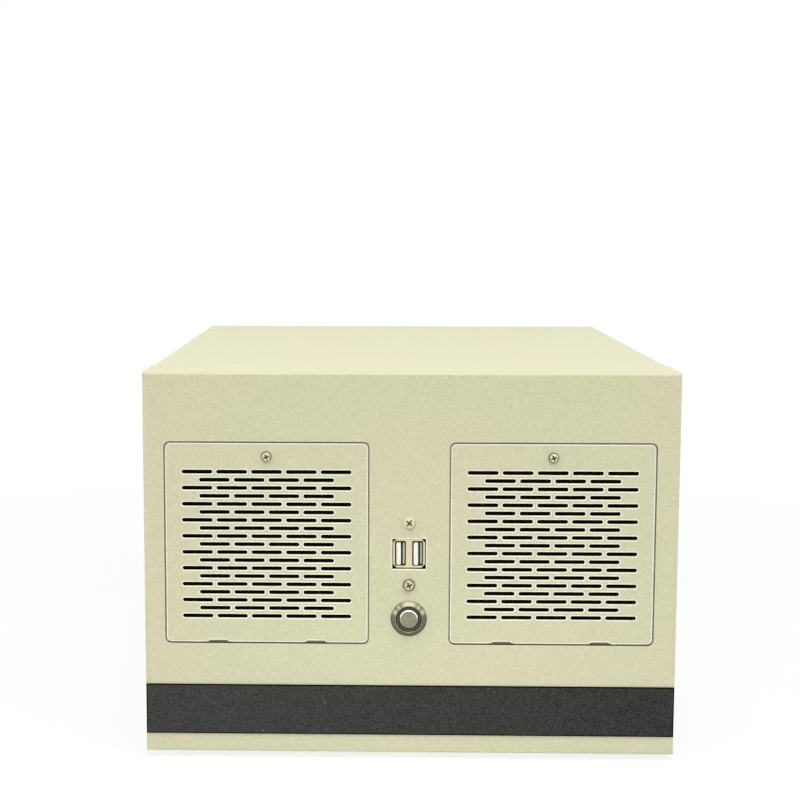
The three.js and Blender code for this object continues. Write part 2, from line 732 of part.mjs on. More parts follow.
/** A door about its own middle: slotted plate, with two tabs that hook behind the panel. */
function filterDoor() {
  const outline = roundedRectangle(0, 0, DOOR_SIZE, DOOR_SIZE, DOOR_CORNER);
  outline.holes = slotCentres().map(([x, z]) =>
    slot(x, z - SLOT_FIELD_DROP, SLOT_LENGTH, SLOT_HEIGHT),
  );
  const bottom = -DOOR_SIZE / 2;
  const notches = tabCentres().map((x) =>
    box(x - TAB_WIDTH / 2, x + TAB_WIDTH / 2, -SHEET, SHEET * 2, bottom - 1, bottom + TAB_NOTCH),
  );
  const screw = rod(0, DOOR_SCREW_RISE, SCREW_RADIUS + FIT, -SHEET, SHEET * 2, SMALL_ROUND_STEPS);
  const plate = cut(alongY(outline, 0, SHEET), ...notches, screw);
  const back = BEHIND_PANEL + SHEET;
  const top = bottom + TAB_NOTCH + SHEET;
  const hook = foldedSheet([point(back, bottom - TAB_DROP), point(back, top), point(0, top)]);
  const tabs = tabCentres().map((x) => alongX(hook, x - TAB_WIDTH / 2, x + TAB_WIDTH / 2));
  return join(plate, ...tabs);
}

function tabCentres() {
  return [-TAB_SPACING / 2, TAB_SPACING / 2];
}

/** A pan-head screw along y, with its head before the plane y = 0. */
function screw(reach) {
  const rim = SCREW_HEAD_RADIUS;
  const profile = [
    [0, -SCREW_HEAD_HEIGHT],
    [rim * 0.55, -SCREW_HEAD_HEIGHT],
    [rim * 0.9, -SCREW_HEAD_HEIGHT * 0.65],
    [rim, -SCREW_HEAD_HEIGHT * 0.2],
    [rim, 0],
    [SCREW_RADIUS, 0],
    [SCREW_RADIUS, reach],
    [0, reach],
  ];
  return turned(profile, SMALL_ROUND_STEPS);
}

/** A pan behind a door's opening, about the door's middle: it seats the door, holds the mat and
 *  carries the fan. */
function filterTray() {
  const edge = DOOR_SIZE / 2 + TRAY_LAP;
  const face = rectangle(-edge, -edge, edge, edge);
  const flange = alongY(face, BEHIND_PANEL, BEHIND_PANEL + SHEET);
  const [half, tall] = [TRAY_WIDTH / 2, TRAY_HEIGHT / 2];
  const middle = -SLOT_FIELD_DROP;
  const pan = box(
    -half - SHEET,
    half + SHEET,
    BEHIND_PANEL,
    TRAY_BACK,
    middle - tall - SHEET,
    middle + tall + SHEET,
  );
  const nut = rod(
    0,
    DOOR_SCREW_RISE,
    TRAY_NUT_RADIUS,
    BEHIND_PANEL,
    BEHIND_PANEL + SHEET + TRAY_NUT_DEPTH,
    SMALL_ROUND_STEPS,
  );
  const room = box(-half, half, 0, TRAY_DEPTH, middle - tall, middle + tall);
  const air = rod(0, middle, fanBore(FRONT_FAN_SIZE), TRAY_DEPTH - SHEET, TRAY_BACK + SHEET);
  const thread = rod(
    0,
    DOOR_SCREW_RISE,
    SCREW_RADIUS + CAPTIVE_PLAY,
    0,
    TRAY_DEPTH,
    SMALL_ROUND_STEPS,
  );
  const bottom = -DOOR_SIZE / 2;
  const hooks = tabCentres().map((x) =>
    box(
      x - TAB_WIDTH / 2 - SHEET,
      x + TAB_WIDTH / 2 + SHEET,
      0,
      TRAY_DEPTH,
      bottom - TAB_DROP - SHEET,
      bottom + TAB_NOTCH + SHEET * 2,
    ),
  );
  return cut(join(flange, pan, nut), room, air, thread, ...hooks);
}

/** A foam mat that fills the tray's pan. */
function filterMat() {
  const outline = rectangle(
    -TRAY_WIDTH / 2 + FIT,
    -TRAY_HEIGHT / 2 + FIT,
    TRAY_WIDTH / 2 - FIT,
    TRAY_HEIGHT / 2 - FIT,
  );
  return alongY(outline, BEHIND_PANEL, TRAY_DEPTH - FIT).translate(0, 0, -SLOT_FIELD_DROP);
}

// ------------------------------------------------------------------ Fans

/** The radius of the bore through a fan of that size. */
function fanBore(size) {
  return size / 2 - FAN_WALL;
}

/** A fan's frame about the y axis, from y = 0 back: ducted block, struts and motor cup. */
function fanFrame(size, depth) {
  const plate = roundedRectangle(0, 0, size, size, FAN_CORNER);
  const bore = rod(0, 0, fanBore(size), -1, depth + 1);
  const corner = size / 2 - FAN_HOLE_INSET;
  const holes = [-corner, corner].flatMap((x) =>
    [-corner, corner].map((z) => rod(x, z, FAN_HOLE_RADIUS, -1, depth + 1, COARSE_STEPS)),
  );
  return join(cut(alongY(plate, 0, depth), bore, ...holes), ...fanStruts(size, depth));
}

/** The motor cup at the rear of a duct, and the two bars that carry it, about the duct's axis. */
function fanStruts(size, depth) {
  const cup = rod(0, 0, FAN_HUB_RADIUS, depth - FAN_STRUT_DEPTH, depth, SMALL_ROUND_STEPS);
  const reach = (size - FAN_WALL) / 2;
  const strut = box(
    -reach,
    reach,
    depth - FAN_STRUT_DEPTH,
    depth,
    -FAN_STRUT / 2,
    FAN_STRUT / 2,
  );
  return [cup, ...[Math.PI / 4, -Math.PI / 4].map((angle) => strut.clone().rotateY(angle))];
}

/** One blade: a lens-shaped section, cambered, twisted to its pitch and wrapped round the shaft. */
function fanBlade(chord, middle, tip) {
  const root = FAN_HUB_RADIUS - BLADE_THICKNESS;
  const blade = new THREE.CylinderGeometry(0.5, 0.5, 1, 4, 2);
  blade.rotateZ(-Math.PI / 2).scale(1, chord, BLADE_THICKNESS);
  const position = blade.getAttribute("position");
  for (let i = 0; i < position.count; i++) {
    const share = position.getX(i) + 0.5;
    const radius = THREE.MathUtils.lerp(root, tip, share);
    const pitch = THREE.MathUtils.degToRad(
      THREE.MathUtils.lerp(BLADE_ROOT_PITCH, BLADE_TIP_PITCH, share),
    );
    const along = position.getY(i);
    const off = position.getZ(i) + BLADE_CAMBER * (1 - (2 * along) ** 2 / chord ** 2);
    const angle = (along * Math.cos(pitch) - off * Math.sin(pitch)) / radius;
    const depth = along * Math.sin(pitch) + off * Math.cos(pitch);
    position.setXYZ(i, radius * Math.cos(angle), middle + depth, -radius * Math.sin(angle));
  }
  return blade;
}

/** The rotor of a fan, about the y axis: hub and blades. */
function fanRotor(size, depth) {
  const rear = depth - FAN_STRUT_DEPTH - FIT;
  const middle = (ROTOR_MARGIN + rear) / 2;
  const room = rear - ROTOR_MARGIN - 2 * BLADE_CAMBER;
  const chord = room / Math.sin(THREE.MathUtils.degToRad(BLADE_ROOT_PITCH));
  const tip = fanBore(size) - BLADE_TIP_GAP;
  const rim = BLADE_CAMBER;
  const hub = turned([
    [0, ROTOR_MARGIN],
    [FAN_HUB_RADIUS - rim, ROTOR_MARGIN],
    [FAN_HUB_RADIUS, ROTOR_MARGIN + rim],
    [FAN_HUB_RADIUS, rear],
    [0, rear],
  ], SMALL_ROUND_STEPS);
  const blades = Array.from({ length: BLADE_COUNT }, (_, i) =>
    fanBlade(chord, middle, tip).rotateY((i * 2 * Math.PI) / BLADE_COUNT),
  );
  return join(hub, ...blades);
}

// ------------------------------------------------------------------ USB socket and button

function usbScrewHeights() {
  return [USB_Z - USB_SCREW_SPACING / 2, USB_Z + USB_SCREW_SPACING / 2];
}

/** A plate behind the panel that holds the socket with two screws. */
function usbBracket() {
  const plate = roundedRectangle(
    FRONT_CENTRE,
    USB_Z,
    USB_BRACKET_WIDTH,
    USB_BRACKET_HEIGHT,
    BEND,
  );
  const window = rectangle(
    FRONT_CENTRE - USB_WIDTH / 2 - FIT,
    USB_Z - USB_HEIGHT / 2 - FIT,
    FRONT_CENTRE + USB_WIDTH / 2 + FIT,
    USB_Z + USB_HEIGHT / 2 + FIT,
  );
  const back = BEHIND_PANEL + SHEET;
  const holes = usbScrewHeights().map((z) =>
    rod(FRONT_CENTRE, z, SCREW_RADIUS + FIT, 0, back + SHEET, SMALL_ROUND_STEPS),
  );
  return cut(alongY(plate, BEHIND_PANEL, back), alongY(window, 0, back + SHEET), ...holes);
}

/** The twin socket's shell, about the middle of its face: chamfered corners and two mouths. */
function usbShell() {
  const outline = chamferedRectangle(USB_WIDTH, USB_HEIGHT, USB_CHAMFER, USB_CHAMFER);
  const mouths = mouthCentres().map((x) =>
    alongY(
      roundedRectangle(x, 0, USB_MOUTH_WIDTH, USB_MOUTH_HEIGHT, SHEET / 2),
      -SHEET,
      USB_MOUTH_DEPTH,
    ),
  );
  return cut(alongY(outline, 0, USB_DEPTH), ...mouths);
}

function mouthCentres() {
  return [-USB_PITCH / 2, USB_PITCH / 2];
}

/** The contact tongue in one mouth. */
function usbTongue(x) {
  const left = x - USB_MOUTH_WIDTH / 2 + USB_TONGUE_SIDE;
  const middle = left + USB_TONGUE_WIDTH / 2;
  const outline = roundedRectangle(middle, 0, USB_TONGUE_WIDTH, USB_TONGUE_HEIGHT, FIT);
  const back = USB_MOUTH_DEPTH - FIT;
  return alongY(outline, back - USB_TONGUE_LENGTH, back);
}

/** Flange and barrel of the push button, about its axis, with a bore for ring and cap. */
function buttonHousing() {
  return turned([
    [0, BUTTON_LENGTH],
    [BUTTON_BARREL_RADIUS, BUTTON_LENGTH],
    [BUTTON_BARREL_RADIUS, 0],
    [BUTTON_FLANGE_RADIUS, 0],
    [BUTTON_FLANGE_RADIUS, -BUTTON_RIM],
    [BUTTON_BORE_RADIUS + FIT, -BUTTON_PROUD],
    [BUTTON_BORE_RADIUS, -BUTTON_PROUD],
    [BUTTON_BORE_RADIUS, BUTTON_BORE_DEPTH],
    [0, BUTTON_BORE_DEPTH],
  ]);
}

/** The dark ring between flange and cap. */
function buttonRing() {
  const outer = BUTTON_BORE_RADIUS - FIT;
  const inner = BUTTON_CAP_RADIUS + FIT;
  const front = BUTTON_RING_SETBACK - BUTTON_PROUD;
  const back = BUTTON_BORE_DEPTH - FIT;
  return turned([
    [inner, front],
    [outer, front],
    [outer, back],
    [inner, back],
    [inner, front],
  ]);
}

/** The cap that is pressed. */
function buttonCap() {
  const front = BUTTON_CAP_SETBACK - BUTTON_PROUD;
  return turned([
    [0, front],
    [BUTTON_CAP_RADIUS - FIT, front],
    [BUTTON_CAP_RADIUS, front + FIT],
    [BUTTON_CAP_RADIUS, front + BUTTON_CAP_LENGTH],
    [0, front + BUTTON_CAP_LENGTH],
  ]);
}

function buttonNut() {
  const back = BEHIND_PANEL + BUTTON_NUT_HEIGHT;
  const hole = rod(0, 0, BUTTON_BARREL_RADIUS + FIT, 0, back + 1);
  return cut(alongY(hexagon(BUTTON_NUT_FLATS), BEHIND_PANEL, back), hole);
}

// ------------------------------------------------------------------ Board and what stands on it

/** The rear sockets from the expansion slots outwards, each with the x of its middle. */
function placedSockets() {
  const row = [
    { name: "audio_socket", width: AUDIO_WIDTH, height: AUDIO_HEIGHT },
    { name: "network_socket_1", width: NETWORK_WIDTH, height: NETWORK_HEIGHT },
    { name: "network_socket_2", width: NETWORK_WIDTH, height: NETWORK_HEIGHT },
    { name: "serial_socket_1", width: SERIAL_WIDTH, height: SERIAL_HEIGHT },
    { name: "serial_socket_2", width: SERIAL_WIDTH, height: SERIAL_HEIGHT },
    { name: "keyboard_socket", width: KEYBOARD_WIDTH, height: KEYBOARD_HEIGHT },
  ];
  const total = row.reduce((sum, { width }) => sum + width, SOCKET_GAP * (row.length - 1));
  let edge = SHIELD_X - total / 2;
  return row.map((socket) => {
    const x = edge + socket.width / 2;
    edge += socket.width + SOCKET_GAP;
    return { ...socket, x };
  });
}

/** A socket on the board's rear edge, open to the rear. */
function rearSocket({ x, width, height }) {
  const top = BOARD_TOP + height;
  const body = box(
    x - width / 2,
    x + width / 2,
    REAR_FACE - SOCKET_DEPTH,
    REAR_FACE,
    BOARD_TOP,
    top,
  );
  const mouth = box(
    x - width / 2 + SOCKET_WALL,
    x + width / 2 - SOCKET_WALL,
    REAR_FACE - SOCKET_MOUTH_DEPTH,
    REAR_FACE + 1,
    BOARD_TOP + SOCKET_WALL,
    top - SOCKET_WALL,
  );
  return cut(body, mouth);
}

/** A board with its slots, header and processor as one piece. */
function mainBoard() {
  const sheet = box(
    -BOARD_WIDTH / 2,
    BOARD_WIDTH / 2,
    BOARD_FRONT,
    BOARD_REAR,
    BOARD_BOTTOM,
    BOARD_TOP,
  );
  const on = BOARD_TOP - SINK_IN;
  const cards = CARD_X.map((x) =>
    box(
      x - CARD_CONNECTOR_WIDTH / 2,
      x + CARD_CONNECTOR_WIDTH / 2,
      REAR_INNER - CARD_CONNECTOR_REAR - CARD_CONNECTOR_LENGTH,
      REAR_INNER - CARD_CONNECTOR_REAR,
      on,
      BOARD_TOP + CARD_CONNECTOR_HEIGHT,
    ),
  );
  const half = SOCKET_BLOCK / 2;
  const processor = box(
    COOLER_X - half,
    COOLER_X + half,
    COOLER_Y - half,
    COOLER_Y + half,
    on,
    SINK_BOTTOM - FIT,
  );
  const header = box(
    HEADER_X - HEADER_WIDTH / 2,
    HEADER_X + HEADER_WIDTH / 2,
    HEADER_Y - HEADER_LENGTH / 2,
    HEADER_Y + HEADER_LENGTH / 2,
    on,
    BOARD_TOP + HEADER_HEIGHT,
  );
  const slots = memoryPlaces().map((y) => memorySlot(y, on));
  return join(sheet, ...cards, processor, header, ...slots);
}

function memoryPlaces() {
  return Array.from(
    { length: MEMORY_COUNT },
    (_, i) => REAR_INNER - MEMORY_FROM_REAR - i * MEMORY_PITCH,
  );
}

/** A memory slot across the board, with the groove that its module stands in. */
function memorySlot(y, bottom) {
  const half = MEMORY_LENGTH / 2;
  const top = BOARD_TOP + MEMORY_SLOT_HEIGHT;
  const wall = (MEMORY_SLOT_WIDTH - MEMORY_THICKNESS) / 2;
  const body = box(
    MEMORY_X - half - wall,
    MEMORY_X + half + wall,
    y - MEMORY_SLOT_WIDTH / 2,
    y + MEMORY_SLOT_WIDTH / 2,
    bottom,
    top,
  );
  const groove = box(
    MEMORY_X - half - FIT,
    MEMORY_X + half + FIT,
    y - MEMORY_THICKNESS / 2 - FIT,
    y + MEMORY_THICKNESS / 2 + FIT,
    top - MEMORY_GROOVE,
    top + 1,
  );
  return cut(body, groove);
}

/** A memory module, standing in its slot. */
function memoryModule(y) {
  const half = MEMORY_LENGTH / 2;
  const bottom = BOARD_TOP + MEMORY_SLOT_HEIGHT - MEMORY_GROOVE + FIT;
  const chips = BOARD_TOP + MEMORY_SLOT_HEIGHT + MEMORY_CHIP;
  const top = bottom + MEMORY_HEIGHT;
  const board = box(
    MEMORY_X - half,
    MEMORY_X + half,
    y - MEMORY_THICKNESS / 2,
    y + MEMORY_THICKNESS / 2,
    bottom,
    top,
  );
  const pitch = MEMORY_LENGTH / 4;
  const packages = [-1.5, -0.5, 0.5, 1.5].map((place) =>
    box(
      MEMORY_X + place * pitch - pitch * 0.36,
      MEMORY_X + place * pitch + pitch * 0.36,
      y - MEMORY_THICKNESS / 2 - MEMORY_CHIP,
      y,
      chips + MEMORY_CHIP,
      top - 4 * MEMORY_CHIP,
    ),
  );
  return join(board, ...packages);
}

/** A finned heat sink: one comb, cut to length along y. */
function heatSink() {
  const left = COOLER_X - SINK_SIZE / 2;
  const pitch = (SINK_SIZE - SINK_FIN_THICKNESS) / (SINK_FINS - 1);
  const base = SINK_BOTTOM + SINK_BASE;
  const comb = [point(left, SINK_BOTTOM), point(left + SINK_SIZE, SINK_BOTTOM)];
  for (let fin = SINK_FINS - 1; fin >= 0; fin--) {
    const side = left + fin * pitch;
    comb.push(point(side + SINK_FIN_THICKNESS, fin === SINK_FINS - 1 ? SINK_TOP : base));
    if (fin < SINK_FINS - 1) comb.push(point(side + SINK_FIN_THICKNESS, SINK_TOP));
    comb.push(point(side, SINK_TOP));
    if (fin > 0) comb.push(point(side, base));
  }
  return alongY(new THREE.Shape(comb), COOLER_Y - SINK_SIZE / 2, COOLER_Y + SINK_SIZE / 2);
}

/** A thin plate in the rear panel's opening, with a hole for each socket. */
function ioShield() {
  const inner = REAR_INNER - FIT;
  const rim = box(
    SHIELD_X - SHIELD_WIDTH / 2 - SHIELD_LAP,
    SHIELD_X + SHIELD_WIDTH / 2 + SHIELD_LAP,
    inner - SHIELD_THICKNESS,
    inner,
    SHIELD_Z - SHIELD_HEIGHT / 2 - SHIELD_LAP,
    SHIELD_Z + SHIELD_HEIGHT / 2 + SHIELD_LAP,
  );
  const raised = alongY(
    roundedRectangle(
      SHIELD_X,
      SHIELD_Z,
      SHIELD_WIDTH - 2 * FIT,
      SHIELD_HEIGHT - 2 * FIT,
      BEND,
    ),
    inner - SHIELD_THICKNESS,
    REAR_FACE - FIT,
  );
  const hollow = alongY(
    roundedRectangle(
      SHIELD_X,
      SHIELD_Z,
      SHIELD_WIDTH - 2 * FIT - 2 * SHIELD_THICKNESS,
      SHIELD_HEIGHT - 2 * FIT - 2 * SHIELD_THICKNESS,
      BEND - SHIELD_THICKNESS,
    ),
    inner - SHEET,
    REAR_FACE - FIT - SHIELD_THICKNESS,
  );
  const holes = placedSockets().map(({ x, width, height }) =>
    box(
      x - width / 2 - FIT,
      x + width / 2 + FIT,
      inner - SHEET,
      REAR_FACE + SHEET,
      BOARD_TOP - FIT,
      BOARD_TOP + height + FIT,
    ),
  );
  return cut(join(rim, raised), hollow, ...holes);
}

// ------------------------------------------------------------------ Expansion slots

/** A blank bracket: a strip inside the rear panel, with its tab folded out onto the shelf. */
function slotCover(x) {
  const outer = REAR_INNER - FIT;
  const tab = CARD_SHELF + FIT + CARD_BRACKET_THICKNESS;
  const section = foldedSheet(
    [
      point(REAR_FACE + CARD_SHELF_DEPTH, tab),
      point(outer - CARD_BRACKET_THICKNESS, tab),
      point(outer - CARD_BRACKET_THICKNESS, FLOOR + 2 * FIT),
    ],
    CARD_BRACKET_THICKNESS,
    BEND,
  );
  return alongX(section, x - CARD_BRACKET_WIDTH / 2, x + CARD_BRACKET_WIDTH / 2);
}

/** A bar across the brackets' tabs. */
function slotClamp() {
  const bottom = CARD_SHELF + 2 * FIT + CARD_BRACKET_THICKNESS;
  const rear = REAR_FACE + CARD_SHELF_DEPTH;
  const section = foldedSheet([
    point(REAR_FACE + FIT, bottom),
    point(rear, bottom),
    point(rear, bottom + CLAMP_LIP),
  ]);
  return alongX(section, CARD_LEFT, CARD_RIGHT);
}

// ------------------------------------------------------------------ Power supply

/** A hollow steel case, open at its front vents and for the fan, inlet and switch at its rear. */
function supplyCase() {
  const shell = (inset) =>
    box(
      SUPPLY_X - SUPPLY_WIDTH / 2 + inset,
      SUPPLY_X + SUPPLY_WIDTH / 2 - inset,
      SUPPLY_FRONT + inset,
      SUPPLY_REAR - inset,
      SUPPLY_Z - SUPPLY_HEIGHT / 2 + inset,
      SUPPLY_Z + SUPPLY_HEIGHT / 2 - inset,
    );
  const rear = (x, z, width, height) =>
    box(
      x - width / 2 - FIT,
      x + width / 2 + FIT,
      SUPPLY_REAR - 2 * SHEET,
      SUPPLY_REAR + SHEET,
      z - height / 2 - FIT,
      z + height / 2 + FIT,
    );
  const fan = rod(
    SUPPLY_FAN_X,
    SUPPLY_Z,
    fanBore(SUPPLY_FAN_SIZE),
    SUPPLY_REAR - 2 * SHEET,
    SUPPLY_REAR + SHEET,
  );
  const vents = Array.from({ length: VENT_COUNT }, (_, i) => {
    const x = SUPPLY_X + (i - (VENT_COUNT - 1) / 2) * 2 * VENT_PITCH;
    return alongY(
      uprightSlot(x, SUPPLY_Z, VENT_LENGTH, VENT_WIDTH),
      SUPPLY_FRONT - SHEET,
      SUPPLY_FRONT + 2 * SHEET,
    );
  });
  return cut(
    shell(0),
    shell(SHEET),
    fan,
    rear(INLET_X, INLET_Z, INLET_WIDTH, INLET_HEIGHT),
    rear(INLET_X, SWITCH_Z, SWITCH_WIDTH, SWITCH_HEIGHT),
    ...vents,
  );
}

/** A wire guard over the supply's fan, about the fan's axis: rings on two crossed bars. */
function fanGuard(size) {
  const half = GUARD_WIRE / 2;
  const outer = fanBore(size) - GUARD_INSET;
  const rings = Array.from({ length: GUARD_RINGS }, (_, i) => {
    const radius = (outer * (i + 1)) / GUARD_RINGS;
    const section = [
      [radius - half, 0],
      [radius + half, 0],
      [radius + half, GUARD_WIRE],
      [radius - half, GUARD_WIRE],
      [radius - half, 0],
    ];
    return turned(section, SMALL_ROUND_STEPS + 4 * i);
  });
  const reach = (size / 2 - FAN_HOLE_INSET) * Math.SQRT2;
  const bar = box(-reach, reach, 0, GUARD_WIRE, -half, half);
  const bars = [Math.PI / 4, -Math.PI / 4].map((angle) => bar.clone().rotateY(angle));
  return join(...rings, ...bars);
}

/** A mains inlet about the middle of the supply's rear face there, with three pins. */
function mainsInlet() {
  const flange = alongY(
    roundedRectangle(
      0,
      0,
      INLET_WIDTH + 2 * INLET_FLANGE,
      INLET_HEIGHT + 2 * INLET_FLANGE,
      INLET_FLANGE,
    ),
    0,
    INLET_FLANGE_THICKNESS,
  );
  const body = box(
    -INLET_WIDTH / 2,
    INLET_WIDTH / 2,
    -INLET_DEPTH + FIT,
    INLET_FLANGE_THICKNESS,
    -INLET_HEIGHT / 2,
    INLET_HEIGHT / 2,
  );
  const floor = INLET_FLANGE_THICKNESS - INLET_MOUTH_DEPTH;
  const mouth = alongY(
    chamferedRectangle(INLET_MOUTH_WIDTH, INLET_MOUTH_HEIGHT, INLET_CHAMFER, 0),
    floor,
    INLET_FLANGE_THICKNESS + 1,
  );
  const pins = [-1, 0, 1].map((place) => {
    const x = place * PIN_SPACING;
    const z = ((place === 0 ? 1 : -1) * PIN_STAGGER) / 2;
    return box(
      x - PIN_WIDTH / 2,
      x + PIN_WIDTH / 2,
      floor - SINK_IN,
      floor + PIN_LENGTH,
      z - PIN_HEIGHT / 2,
      z + PIN_HEIGHT / 2,
    );
  });
  return join(cut(join(flange, body), mouth), ...pins);
}

/** The switch's frame, about the middle of its face. */
function switchFrame() {
  const [x, z] = [SWITCH_WIDTH / 2, SWITCH_HEIGHT / 2];
  const body = box(-x, x, -SWITCH_DEPTH + FIT, SHEET, -z, z);
  const flange = box(-x - SHEET, x + SHEET, 0, SHEET, -z - SHEET, z + SHEET);
  const room = box(
    -x + SWITCH_WALL,
    x - SWITCH_WALL,
    -ROCKER_DEPTH - SWITCH_WALL,
    SHEET * 2,
    -z + SWITCH_WALL,
    z - SWITCH_WALL,
  );
  return cut(join(flange, body), room);
}

/** The rocker in that frame, tilted to one side about its pivot. */
function rocker() {
  const x = SWITCH_WIDTH / 2 - SWITCH_WALL - FIT;
  const z = SWITCH_HEIGHT / 2 - SWITCH_WALL - 3 * FIT;
  const tilt = THREE.MathUtils.degToRad(ROCKER_TILT);
  const rise = z * Math.tan(tilt);
  const section = new THREE.Shape([
    point(-ROCKER_DEPTH + rise + FIT, -z),
    point(SHEET + rise, -z),
    point(SHEET, 0),
    point(SHEET + rise, z),
    point(-ROCKER_DEPTH + rise + FIT, z),
    point(-ROCKER_DEPTH + FIT, 0),
  ]);
  return alongX(section, -x, x).rotateX(-tilt);
}

// ------------------------------------------------------------------ Drive

/** A shelf from wall to wall, with upturned ends. */
function driveShelf() {
  const section = foldedSheet([
    point(-REAR_HALF, SHELF_Z + SHELF_END),
    point(-REAR_HALF, SHELF_Z),
    point(REAR_HALF, SHELF_Z),
    point(REAR_HALF, SHELF_Z + SHELF_END),
  ]);
  const opening = roundedRectangle(
    -REAR_HALF / 2 - SHELF_END,
    SHELF_FRONT + SHELF_DEPTH / 2,
    SHELF_DEPTH / 2,
    SHELF_DEPTH / 2,
    SHELF_END / 2,
  );
  const sheet = alongY(section, SHELF_FRONT, SHELF_FRONT + SHELF_DEPTH);
  return cut(sheet, alongZ(opening, SHELF_Z - SHEET, SHELF_Z + 2 * SHEET));
}

/** A hard drive on the shelf: stepped casting with the round swell over its platters. */
function hardDrive() {
  const right = TUB_WALL - DRIVE_FROM_WALL;
  const left = right - DRIVE_LENGTH;
  const front = SHELF_FRONT - DRIVE_OVERHANG;
  const bottom = SHELF_Z + SHEET;
  const shoulder = bottom + DRIVE_HEIGHT - DRIVE_STEP;
  const body = box(left, right, front, front + DRIVE_WIDTH, bottom, shoulder);
  const lid = box(
    left + DRIVE_STEP,
    right - DRIVE_STEP,
    front + DRIVE_STEP,
    front + DRIVE_WIDTH - DRIVE_STEP,
    shoulder - SINK_IN,
    shoulder + DRIVE_STEP / 2,
  );
  const swell = rod(0, 0, DRIVE_HUB_RADIUS, 0, DRIVE_STEP + SINK_IN)
    .rotateX(Math.PI / 2)
    .translate(right - DRIVE_WIDTH / 2, front + DRIVE_WIDTH / 2, shoulder - SINK_IN);
  return join(body, lid, swell);
}

// ------------------------------------------------------------------ The assembly

/** A named mesh, in a place within its group. */
function piece(name, geometry, material, x = 0, y = 0, z = 0) {
  const mesh = new THREE.Mesh(geometryOf(solidOf(geometry)), material);
  mesh.name = name;
  mesh.position.set(x, y, z);
  return mesh;
}

function group(x, y, z, ...children) {
  const made = new THREE.Group();
  made.position.set(x, y, z);
  made.add(...children);
  return made;
}

function sheets() {
  return [
    piece("front_panel", frontPanel(), BEIGE_PAINT),
    piece("chassis_tub", chassisTub(), BEIGE_PAINT),
    piece("top_cover", topCover(), BEIGE_PAINT),
    piece("rear_panel", rearPanel(), BEIGE_PAINT),
    piece("front_band", frontBand(), BLACK_BAND),
  ];
}

/** The black strip across the foot of the front. */
function frontBand() {
  const half = WIDTH / 2 - BAND_END;
  return box(-half, half, -BAND_THICKNESS, 0, BAND_BOTTOM, BAND_BOTTOM + BAND_HEIGHT);
}

function feet() {
  const [x, near, far] = [WIDTH / 2 - FOOT_INSET_X, FOOT_INSET_Y, DEPTH - FOOT_INSET_Y];
  const places = [
    ["foot_front_left", -x, near],
    ["foot_front_right", x, near],
    ["foot_rear_left", -x, far],
    ["foot_rear_right", x, far],
  ];
  return places.map(([name, footX, y]) => piece(name, foot(), RUBBER, footX, y, 0));
}

/** Door, screw, tray, mat and fan of one side, about the middle of the door's face. */
function intake(side, x) {
  const fan = group(
    0,
    TRAY_BACK + FIT,
    -SLOT_FIELD_DROP,
    piece(`front_fan_${side}`, fanFrame(FRONT_FAN_SIZE, FAN_DEPTH), DARK_PLASTIC),
    piece(`front_rotor_${side}`, fanRotor(FRONT_FAN_SIZE, FAN_DEPTH), DARK_PLASTIC),
  );
  return group(
    x,
    0,
    DOOR_Z,
    piece(`filter_door_${side}`, filterDoor(), BEIGE_PAINT),
    piece(`door_screw_${side}`, screw(SHEET + SCREW_REACH), STAINLESS, 0, 0, DOOR_SCREW_RISE),
    piece(`filter_tray_${side}`, filterTray(), BEIGE_PAINT),
    piece(`filter_mat_${side}`, filterMat(), FOAM),
    fan,
  );
}

function usbSocket() {
  const [left, right] = mouthCentres();
  const [lower, upper] = usbScrewHeights();
  const shell = group(
    FRONT_CENTRE,
    USB_SETBACK,
    USB_Z,
    piece("usb_shell", usbShell(), STAINLESS),
    piece("usb_tongue_left", usbTongue(left), WHITE_PLASTIC),
    piece("usb_tongue_right", usbTongue(right), WHITE_PLASTIC),
  );
  const reach = SHEET + SCREW_REACH;
  return [
    shell,
    piece("usb_bracket", usbBracket(), ZINC),
    piece("usb_screw_upper", screw(reach), BEIGE_PAINT, FRONT_CENTRE, 0, upper),
    piece("usb_screw_lower", screw(reach), STAINLESS, FRONT_CENTRE, 0, lower),
  ];
}

function powerButton() {
  return group(
    FRONT_CENTRE,
    0,
    BUTTON_Z,
    piece("button_housing", buttonHousing(), STAINLESS),
    piece("button_ring", buttonRing(), DARK_PLASTIC),
    piece("button_cap", buttonCap(), STAINLESS),
    piece("button_nut", buttonNut(), ZINC),
  );
}

function rearFittings() {
  const covers = CARD_X.map((x, i) => piece(`slot_cover_${i + 1}`, slotCover(x), ZINC));
  return [
    ...covers,
    piece("slot_clamp", slotClamp(), ZINC),
    piece("io_shield", ioShield(), ZINC),
  ];
}

function powerSupply() {
  const fan = group(
    SUPPLY_FAN_X,
    SUPPLY_REAR - SHEET - FIT - FAN_DEPTH,
    SUPPLY_Z,
    piece("supply_fan", fanFrame(SUPPLY_FAN_SIZE, FAN_DEPTH), DARK_PLASTIC),
    piece("supply_rotor", fanRotor(SUPPLY_FAN_SIZE, FAN_DEPTH), DARK_PLASTIC),
  );
  return [
    fan,
    piece("supply_case", supplyCase(), ZINC),
    piece("supply_guard", fanGuard(SUPPLY_FAN_SIZE), STAINLESS, SUPPLY_FAN_X, SUPPLY_REAR, SUPPLY_Z),
    piece("mains_inlet", mainsInlet(), DARK_PLASTIC, INLET_X, SUPPLY_REAR, INLET_Z),
    piece("switch_frame", switchFrame(), DARK_PLASTIC, INLET_X, SUPPLY_REAR, SWITCH_Z),
    piece("switch_rocker", rocker(), DARK_PLASTIC, INLET_X, SUPPLY_REAR, SWITCH_Z),
  ];
}

